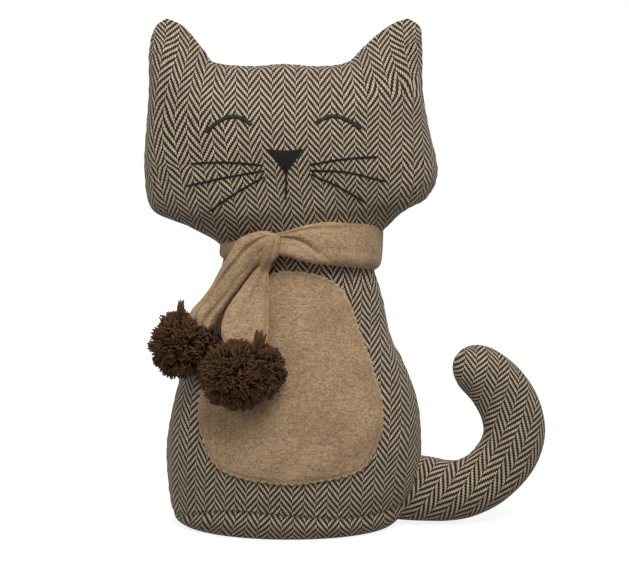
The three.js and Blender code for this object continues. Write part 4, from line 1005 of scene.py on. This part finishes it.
def yarn_tubes(start, end, loose, sides=4):
    """Bent tubes from each start to each end, kept CLOTH_GAP in front of the cloth. A tube's radius follows
    YARN_SWELL from its root to its frayed tip. The last ones, loose in number, are the free tufts: they bend
    less, and their painted shade is as light as at the tips all along, since they stand out of the ball."""
    count, rings = len(start), len(YARN_SWELL)
    out_way = (end - start) / np.linalg.norm(end - start, axis=1, keepdims=True)
    bend = np.cross(out_way, rng.normal(0, 1, (count, 3))) * rng.uniform(0.4, 2.0, count)[:, None]
    bend[count - loose:] *= LOOSE_BEND
    share = np.linspace(0, 1, rings)[None, :, None]
    line = start[:, None] * (1 - share) + end[:, None] * share + bend[:, None] * np.sin(share * np.pi)
    limit = cloth_depth(line[..., 0].ravel(), line[..., 2].ravel()).reshape(line.shape[:2]) - CLOTH_GAP
    inside = (limit < -6) & (line[..., 1] > limit)
    line[..., 1] = np.where(inside, limit, line[..., 1])
    first = np.cross(out_way, [0.3, 0.5, 0.81])
    first /= np.linalg.norm(first, axis=1, keepdims=True)
    second = np.cross(out_way, first)
    angle = np.linspace(0, 2 * np.pi, sides, endpoint=False)
    radius = YARN * np.array(YARN_SWELL)[None] * rng.uniform(0.8, 1.2, count)[:, None]
    around = first[:, None] * np.cos(angle)[None, :, None] + second[:, None] * np.sin(angle)[None, :, None]
    points = line[:, :, None] + around[:, None] * radius[:, :, None, None]
    one = grid_faces(rings, sides, close_columns=True)
    offsets = np.arange(count)[:, None, None] * rings * sides
    faces = (one[None] + offsets).reshape(-1, 4).tolist()
    root, tip = np.arange(sides)[::-1], (rings - 1) * sides + np.arange(sides)
    faces += (offsets[:, 0] + root).tolist() + (offsets[:, 0] + tip).tolist()
    tone = rng.uniform(0, 1, count)
    # The map's second number sets the wool's painted shade, darkest at the root; the free tufts get its light
    # end.
    lightness = np.repeat(share[..., 0], count, axis=0)
    lightness[count - loose:] = mix(0.72, 0.95, lightness[count - loose:])
    lightness = lightness[:, :, None] * np.ones(sides)
    cloth = np.stack(np.broadcast_arrays(tone[:, None, None], lightness), axis=-1)
    return points.reshape(-1, 3), faces, cloth.reshape(-1, 2)


pompoms = []
for node in POMPOMS:
    ends = [ball_ends(*lobe) for lobe in POMPOMS[node]] + [tuft_ends(*tuft) for tuft in TUFTS[node]]
    start, end = (np.concatenate(side) for side in zip(*ends))
    points, faces, cloth = yarn_tubes(start, end, sum(tuft[-1] for tuft in TUFTS[node]))
    pompom = make_piece(node + "_yarn", points, faces, cloth, weld=0)
    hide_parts(node)
    pompoms.append(pompom)

# %% [markdown]
# ## Materials by nodes
# Cloth looks right when its weave has the right size and the light catches its threads. Each material below
# is a small chain of arithmetic on the cloth map, which gives both a colour and a height for the bump.


# %% Helpers for node materials
class Weave:
    """A material under construction, with short calls for the nodes that cloth needs."""

    def __init__(self, name):
        self.material = bpy.data.materials.new(name)
        self.material.use_nodes = True
        self.tree = self.material.node_tree
        self.shader = self.tree.nodes["Principled BSDF"]

    def plug(self, value, socket):
        """Links an output to a socket, or writes a plain number or colour on it."""
        if isinstance(value, bpy.types.NodeSocket):
            self.tree.links.new(value, socket)
        else:
            socket.default_value = value

    def sum(self, operation, *values):
        """One Math node."""
        node = self.tree.nodes.new("ShaderNodeMath")
        node.operation = operation
        for value, socket in zip(values, node.inputs):
            self.plug(value, socket)
        return node.outputs[0]

    def step(self, value, low, high, start=0.0, end=1.0):
        """A smooth step of value between low and high, from start to end."""
        node = self.tree.nodes.new("ShaderNodeMapRange")
        node.interpolation_type = "SMOOTHSTEP"
        for item, socket in zip((value, low, high, start, end), node.inputs):
            self.plug(item, socket)
        return node.outputs[0]

    def fold(self, value):
        """1 where value is a whole number, and evenly down to 0 halfway between two."""
        return self.sum("ABSOLUTE", self.sum("MULTIPLY_ADD", self.sum("FRACT", value), 2.0, -1.0))

    def ridges(self, value):
        """Rounded ridges: the sine of value without its sign."""
        return self.sum("ABSOLUTE", self.sum("SINE", value))

    def parts(self, vector):
        """The three numbers of a vector."""
        split = self.tree.nodes.new("ShaderNodeSeparateXYZ")
        self.tree.links.new(vector, split.inputs[0])
        return list(split.outputs)

    def cloth(self):
        """The two numbers of the cloth map."""
        uv = self.tree.nodes.new("ShaderNodeUVMap")
        uv.uv_map = "cloth"
        return self.parts(uv.outputs[0])[:2]

    def place(self, x, y, z=0.0):
        """A vector out of three numbers or outputs."""
        node = self.tree.nodes.new("ShaderNodeCombineXYZ")
        for value, socket in zip((x, y, z), node.inputs):
            self.plug(value, socket)
        return node.outputs[0]

    def here(self):
        """Object coordinates, in metres."""
        return self.tree.nodes.new("ShaderNodeTexCoord").outputs["Object"]

    def noise(self, vector, scale, detail=2.0, rough=0.5):
        """Smooth noise from 0 to 1."""
        node = self.tree.nodes.new("ShaderNodeTexNoise")
        self.plug(vector, node.inputs["Vector"])
        node.inputs["Scale"].default_value = scale
        node.inputs["Detail"].default_value = detail
        node.inputs["Roughness"].default_value = rough
        return node.outputs["Fac"]

    def chance(self, vector):
        """A number from 0 to 1 that is fixed for each whole-number place."""
        node = self.tree.nodes.new("ShaderNodeTexWhiteNoise")
        self.plug(vector, node.inputs["Vector"])
        return node.outputs["Value"]

    def blend(self, share, first, second):
        """A mix of two colours."""
        node = self.tree.nodes.new("ShaderNodeMix")
        node.data_type = "RGBA"
        self.plug(share, node.inputs["Factor"])
        self.plug(first, node.inputs["A"])
        self.plug(second, node.inputs["B"])
        return node.outputs["Result"]

    def shade(self, colour, amount):
        """A colour made darker or lighter by a number."""
        node = self.tree.nodes.new("ShaderNodeVectorMath")
        node.operation = "SCALE"
        self.plug(colour[:3] if isinstance(colour, tuple) else colour, node.inputs[0])
        self.plug(amount, node.inputs["Scale"])
        return node.outputs[0]

    def finish(self, colour, height, distance, roughness, sheen=0.0, sheen_tint=(1, 1, 1, 1)):
        """Sends the colour and the bump to the shader and sets its plain values."""
        self.plug(colour, self.shader.inputs["Base Color"])
        self.shader.inputs["Roughness"].default_value = roughness
        self.shader.inputs["Specular IOR Level"].default_value = 0.25
        self.shader.inputs["Sheen Weight"].default_value = sheen
        self.shader.inputs["Sheen Roughness"].default_value = 0.45
        self.shader.inputs["Sheen Tint"].default_value = sheen_tint
        bump = self.tree.nodes.new("ShaderNodeBump")
        bump.inputs["Distance"].default_value = distance
        bump.inputs["Strength"].default_value = 1
        self.plug(height, bump.inputs["Height"])
        self.tree.links.new(bump.outputs[0], self.shader.inputs["Normal"])
        return self.material


def colour(red, green, blue):
    """A colour as a screen shows it, from 0 to 255, turned into the light values that a shader needs."""
    light = [((c / 255 + 0.055) / 1.055) ** 2.4 if c > 10 else c / 255 / 12.92 for c in (red, green, blue)]
    return (*light, 1)


# %% [markdown]
# ## Herringbone tweed
# Light threads run along the columns, eight to a column. Each goes over two dark cross threads and under
# the next two, one step later than its neighbour, which draws the diagonal. At a column's edge the steps
# turn round. The same arithmetic gives colour and bump, and chance varies the tone of each thread.

# %% The tweed
THREADS = 8


def tweed():
    """p = line number + 2 x the column's to-and-fro, + 1/2 in every other column, so that light meets dark
    where two columns join. A light thread is on top where p's fraction is near the middle, and each thread
    is rounded across and along, in its bump and in painted shade that darkens it where it rounds down."""
    cloth = Weave("herringbone_tweed")
    column, line = cloth.cloth()
    grain = cloth.noise(cloth.place(column, line), 0.9, 3)
    ends = cloth.sum("MULTIPLY", column, THREADS)
    end = cloth.sum("FLOOR", ends)
    to_and_fro = cloth.sum("PINGPONG", cloth.sum("DIVIDE", cloth.sum("ADD", end, 0.5), THREADS), 1.0)
    odd = cloth.sum("FRACT", cloth.sum("MULTIPLY", cloth.sum("FLOOR", column), 0.5))
    p = cloth.sum("MULTIPLY_ADD", to_and_fro, 2.0, cloth.sum("MULTIPLY_ADD", grain, 0.22, line))
    p = cloth.sum("ADD", p, odd)
    turn = cloth.sum("FLOOR", p)
    on_top = cloth.step(cloth.fold(p), 0.35, 0.57, 1, 0)
    round_end = cloth.sum("SUBTRACT", 1.0, cloth.sum("POWER", cloth.fold(ends), 3.0))
    pick = cloth.fold(cloth.sum("MULTIPLY", p, 4.0))
    round_pick = cloth.sum("SUBTRACT", 1.0, cloth.sum("POWER", pick, 2.0))
    tone = cloth.chance(cloth.place(end, turn))
    patchy = cloth.noise(cloth.here(), 38, 3)
    light = cloth.shade(colour(205, 187, 162), cloth.sum("MULTIPLY_ADD", tone, 0.34, 0.83))
    # Painted shade: round_end darkens each light thread towards its edges, and round_pick each dark one
    # between its picks.
    light = cloth.shade(light, cloth.sum("MULTIPLY_ADD", round_end, 0.4, 0.6))
    dark = cloth.shade(colour(44, 31, 20), cloth.sum("MULTIPLY_ADD", round_pick, 0.9, 0.3))
    mixed = cloth.blend(on_top, dark, light)
    mixed = cloth.shade(mixed, cloth.sum("MULTIPLY_ADD", patchy, 0.24, 0.88))
    light_height = cloth.sum("MULTIPLY", on_top, round_end)
    height = cloth.sum("ADD", light_height, cloth.sum("MULTIPLY", round_pick, 0.3))
    return cloth.finish(mixed, height, 0.00035, 0.9, 0.12, colour(235, 225, 210))


TWEED = tweed()
for piece in (body_cover, tail_cover):
    piece.data.materials.append(TWEED)

# %% [markdown]
# ## Plush
# Plush is short dense pile. Its colour changes with the way the pile lies, in soft patches and fine
# streaks, and it is a little lighter at grazing angles, which the sheen gives. On the patch, the 2 mm
# nearest the rim are the overlock's thread, with painted light that makes it palest at the top, and painted
# shade between its stitches.


# %% The plush
def plush(name, dull, bright, rim):
    """Streaks stretched sideways, patches a centimetre wide from dull to bright, and a fine pile as bump.
    With rim, the cloth map's second number is the distance from the rim in mm, and draws the overlock."""
    cloth = Weave(name)
    along, depth = cloth.cloth()
    here = cloth.here()
    x, y, z = cloth.parts(here)
    streak = cloth.noise(cloth.place(cloth.sum("MULTIPLY", x, 0.35), y, z), 900, 2, 0.6)
    patches = cloth.noise(here, 60, 3, 0.55)
    pile = cloth.noise(here, 820, 3, 0.75)
    base = cloth.blend(cloth.step(patches, 0.3, 0.72), dull, bright)
    fine = cloth.sum("ADD", cloth.sum("MULTIPLY", streak, 1.2), cloth.sum("MULTIPLY", pile, 1.9))
    base = cloth.shade(base, cloth.sum("ADD", fine, -0.56))
    height = cloth.sum("ADD", cloth.sum("MULTIPLY", pile, 0.7), cloth.sum("MULTIPLY", streak, 0.5))
    if rim:
        uneven = cloth.noise(cloth.place(along, depth), 0.5, 3)
        edge = cloth.step(cloth.sum("MULTIPLY_ADD", uneven, 2.2, depth), 2.2, 3.0, 1, 0)
        # Painted light: the overlock shows less below z 0.115 m and fully above 0.145 m, paler at the top
        # where light falls.
        edge = cloth.sum("MULTIPLY", edge, cloth.step(z, 0.115, 0.145, 0.55, 1.0))
        turn = cloth.sum("MULTIPLY_ADD", depth, 1.6, cloth.sum("MULTIPLY", uneven, 5.0))
        stitch = cloth.ridges(cloth.sum("MULTIPLY_ADD", along, 1.55, turn))
        # Painted shade: the overlock thread is darker between its stitch ridges.
        overlock = cloth.shade(colour(214, 190, 158), cloth.sum("MULTIPLY_ADD", stitch, 0.55, 0.55))
        base = cloth.blend(cloth.sum("MULTIPLY", edge, 0.8), base, overlock)
        height = cloth.sum("ADD", height, cloth.sum("MULTIPLY", cloth.sum("MULTIPLY", edge, stitch), 0.8))
    return cloth.finish(base, height, 0.0005, 0.95, 0.35, colour(225, 200, 170))


belly_patch.data.materials.append(plush("patch_plush", colour(156, 127, 97), colour(171, 143, 111), True))
scarf.data.materials.append(plush("scarf_plush", colour(163, 134, 103), colour(178, 150, 117), False))


# %% [markdown]
# ## Yarn and embroidery thread
# The pompoms are dark brown wool, with painted shade: nearly black towards the roots inside the ball, where
# shade falls, and lighter towards the frayed tips. The cloth map there holds a tone for each end and the
# share of its length. Embroidery thread is smooth and twisted, so its bump is a row of slanted ridges with
# painted shade between them, and its surface shines slightly.


# %% Wool and thread
def wool():
    """Painted shade: dark at the root, inside the ball, and lighter towards the tip, with each end's own
    tone.
    """
    cloth = Weave("brown_wool")
    tone, share = cloth.cloth()
    fuzz = cloth.noise(cloth.here(), 1500, 2, 0.7)
    # Painted shade: the colour runs from nearly black at the root to brown at the tip.
    base = cloth.blend(cloth.step(share, 0.45, 1.0), colour(16, 9, 4), colour(93, 64, 40))
    amount = cloth.sum("ADD", cloth.sum("MULTIPLY", tone, 0.9), cloth.sum("MULTIPLY_ADD", fuzz, 0.7, 0.15))
    return cloth.finish(cloth.shade(base, amount), fuzz, 0.0006, 0.95, 0.15, colour(150, 125, 100))


def floss(name, middle, tone):
    """Slanted ridges every 0.8 mm along a nearly black thread, with painted shade between them. Where across
    is near middle, in mm, the thread has a painted highlight in the given tone."""
    cloth = Weave(name)
    along, across = cloth.cloth()
    turn = cloth.sum("ADD", cloth.sum("MULTIPLY", along, 4.0), cloth.sum("MULTIPLY", across, 5.0))
    ridge = cloth.ridges(turn)
    away = cloth.sum("ABSOLUTE", cloth.sum("SUBTRACT", across, middle))
    # Painted highlight: a lighter line in tone along the middle of the thread.
    base = cloth.blend(cloth.step(away, 0.45, 0.95, 1, 0), colour(17, 13, 11), tone)
    # Painted shade: darker between the slanted ridges.
    base = cloth.shade(base, cloth.sum("MULTIPLY_ADD", ridge, 0.8, 0.4))
    return cloth.finish(base, ridge, 0.0003, 0.6)


WOOL, FLOSS = wool(), floss("dark_floss", 0.0, colour(19, 16, 15))
# The eyes carry a lighter painted highlight along their middle.
EYE_FLOSS = floss("eye_floss", EYE_WIDTH * np.pi / 4, colour(56, 51, 43))
for piece in pompoms:
    piece.data.materials.append(WOOL)
for piece in embroidery:
    piece.data.materials.append(EYE_FLOSS if piece.name.startswith("eye") else FLOSS)


# %% [markdown]
# ## What is inside
# The bag of sand and the fibre can't be seen, but they are there and keep their solids. They still get
# materials of their own: calico with a plain weave, and pale fibre.


# %% Calico and fibre
def calico():
    """A plain weave: two sets of threads 0.8 mm apart, seen from any side."""
    cloth = Weave("calico")
    x, y, z = (cloth.ridges(cloth.sum("MULTIPLY", part, 3900.0)) for part in cloth.parts(cloth.here()))
    height = cloth.sum("MULTIPLY", cloth.sum("ADD", x, y), z)
    # Painted shade: the calico is darker where its threads dip between crossings.
    base = cloth.shade(colour(196, 184, 158), cloth.sum("MULTIPLY_ADD", height, 0.2, 0.75))
    return cloth.finish(base, height, 0.0003, 0.9)


def fibre():
    """Loose white fibre: fine crossing strands as stretched noise."""
    cloth = Weave("polyester_fibre")
    strands = cloth.noise(cloth.here(), 420, 5, 0.8)
    base = cloth.shade(colour(240, 238, 232), cloth.sum("MULTIPLY_ADD", strands, 0.4, 0.7))
    return cloth.finish(base, strands, 0.002, 0.9, 0.3)


INNER = {"weight_bag": calico(), "body_filling": fibre(), "tail_filling": fibre()}
for node, material in INNER.items():
    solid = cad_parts[node]
    solid.data.materials.clear()
    solid.data.materials.append(material)

# %% [markdown]
# ## Floor and light
# A pale floor and a white surrounding make the background. Two large soft lamps and the surrounding light
# the cat at a level where a colour shows about as it is written.


# %% Floor, surroundings and lamps
FLOOR_WHITENING, FLOOR_HALF, FLOOR_DROP = 0.84, 30.0, 0.0003
SURROUNDING_LIGHT = 0.42


def seen_by_eye(tree):
    """1 for rays from the camera and for those seen in gloss or through glass, and 0 for light."""
    ray = tree.nodes.new("ShaderNodeLightPath")
    seen = ray.outputs["Is Camera Ray"]
    for name in ("Is Glossy Ray", "Is Transmission Ray"):
        more = tree.nodes.new("ShaderNodeMath")
        more.operation = "MAXIMUM"
        tree.links.new(seen, more.inputs[0])
        tree.links.new(ray.outputs[name], more.inputs[1])
        seen = more.outputs[0]
    return seen


def make_floor():
    """A large pale square just below the cat. To the eye alone it glows a little, so that where the lamps
    reach it, it is as white as the surroundings, and the cat's shadow stays."""
    mesh = bpy.data.meshes.new("floor")
    signs = ((-1, -1), (1, -1), (1, 1), (-1, 1))
    corners = [(x * FLOOR_HALF, y * FLOOR_HALF, -FLOOR_DROP) for x, y in signs]
    mesh.from_pydata(corners, [], [(0, 1, 2, 3)])
    floor = bpy.data.objects.new("floor", mesh)
    bpy.context.scene.collection.objects.link(floor)
    look = Weave("pale_floor")
    look.finish(colour(150, 149, 148), look.noise(look.here(), 40), 0.0, 0.9)
    look.shader.inputs["Emission Color"].default_value = (1, 1, 1, 1)
    glow = look.sum("MULTIPLY", seen_by_eye(look.tree), FLOOR_WHITENING)
    look.plug(glow, look.shader.inputs["Emission Strength"])
    mesh.materials.append(look.material)


def make_surroundings(strength):
    """White to the camera, to gloss and to glass, and soft light of the given strength to everything else."""
    world = bpy.data.worlds.new("surroundings")
    bpy.context.scene.world = world
    world.use_nodes = True
    tree = world.node_tree
    back = tree.nodes["Background"]
    level = tree.nodes.new("ShaderNodeMapRange")
    tree.links.new(seen_by_eye(tree), level.inputs["Value"])
    level.inputs["To Min"].default_value = strength
    level.inputs["To Max"].default_value = 1
    tree.links.new(level.outputs[0], back.inputs["Strength"])
    back.inputs["Color"].default_value = (1, 1, 1, 1)


def make_lamp(name, place, power, size):
    """A square soft lamp that faces the cat's middle."""
    data = bpy.data.lights.new(name, "AREA")
    data.energy, data.size = power, size
    lamp = bpy.data.objects.new(name, data)
    bpy.context.scene.collection.objects.link(lamp)
    lamp.location = place
    aim = np.array([0.01, 0, 0.14]) - np.array(place)
    lamp.rotation_euler = (np.arccos(-aim[2] / np.linalg.norm(aim)), 0, np.arctan2(-aim[0], aim[1]))
    return lamp


make_floor()
make_surroundings(SURROUNDING_LIGHT)
make_lamp("key_lamp", (0.2, -0.85, 1.2), 13, 0.8)
make_lamp("fill_lamp", (-1.1, -1.2, 0.9), 3, 1.0)
bpy.context.scene.view_settings.view_transform = "Standard"
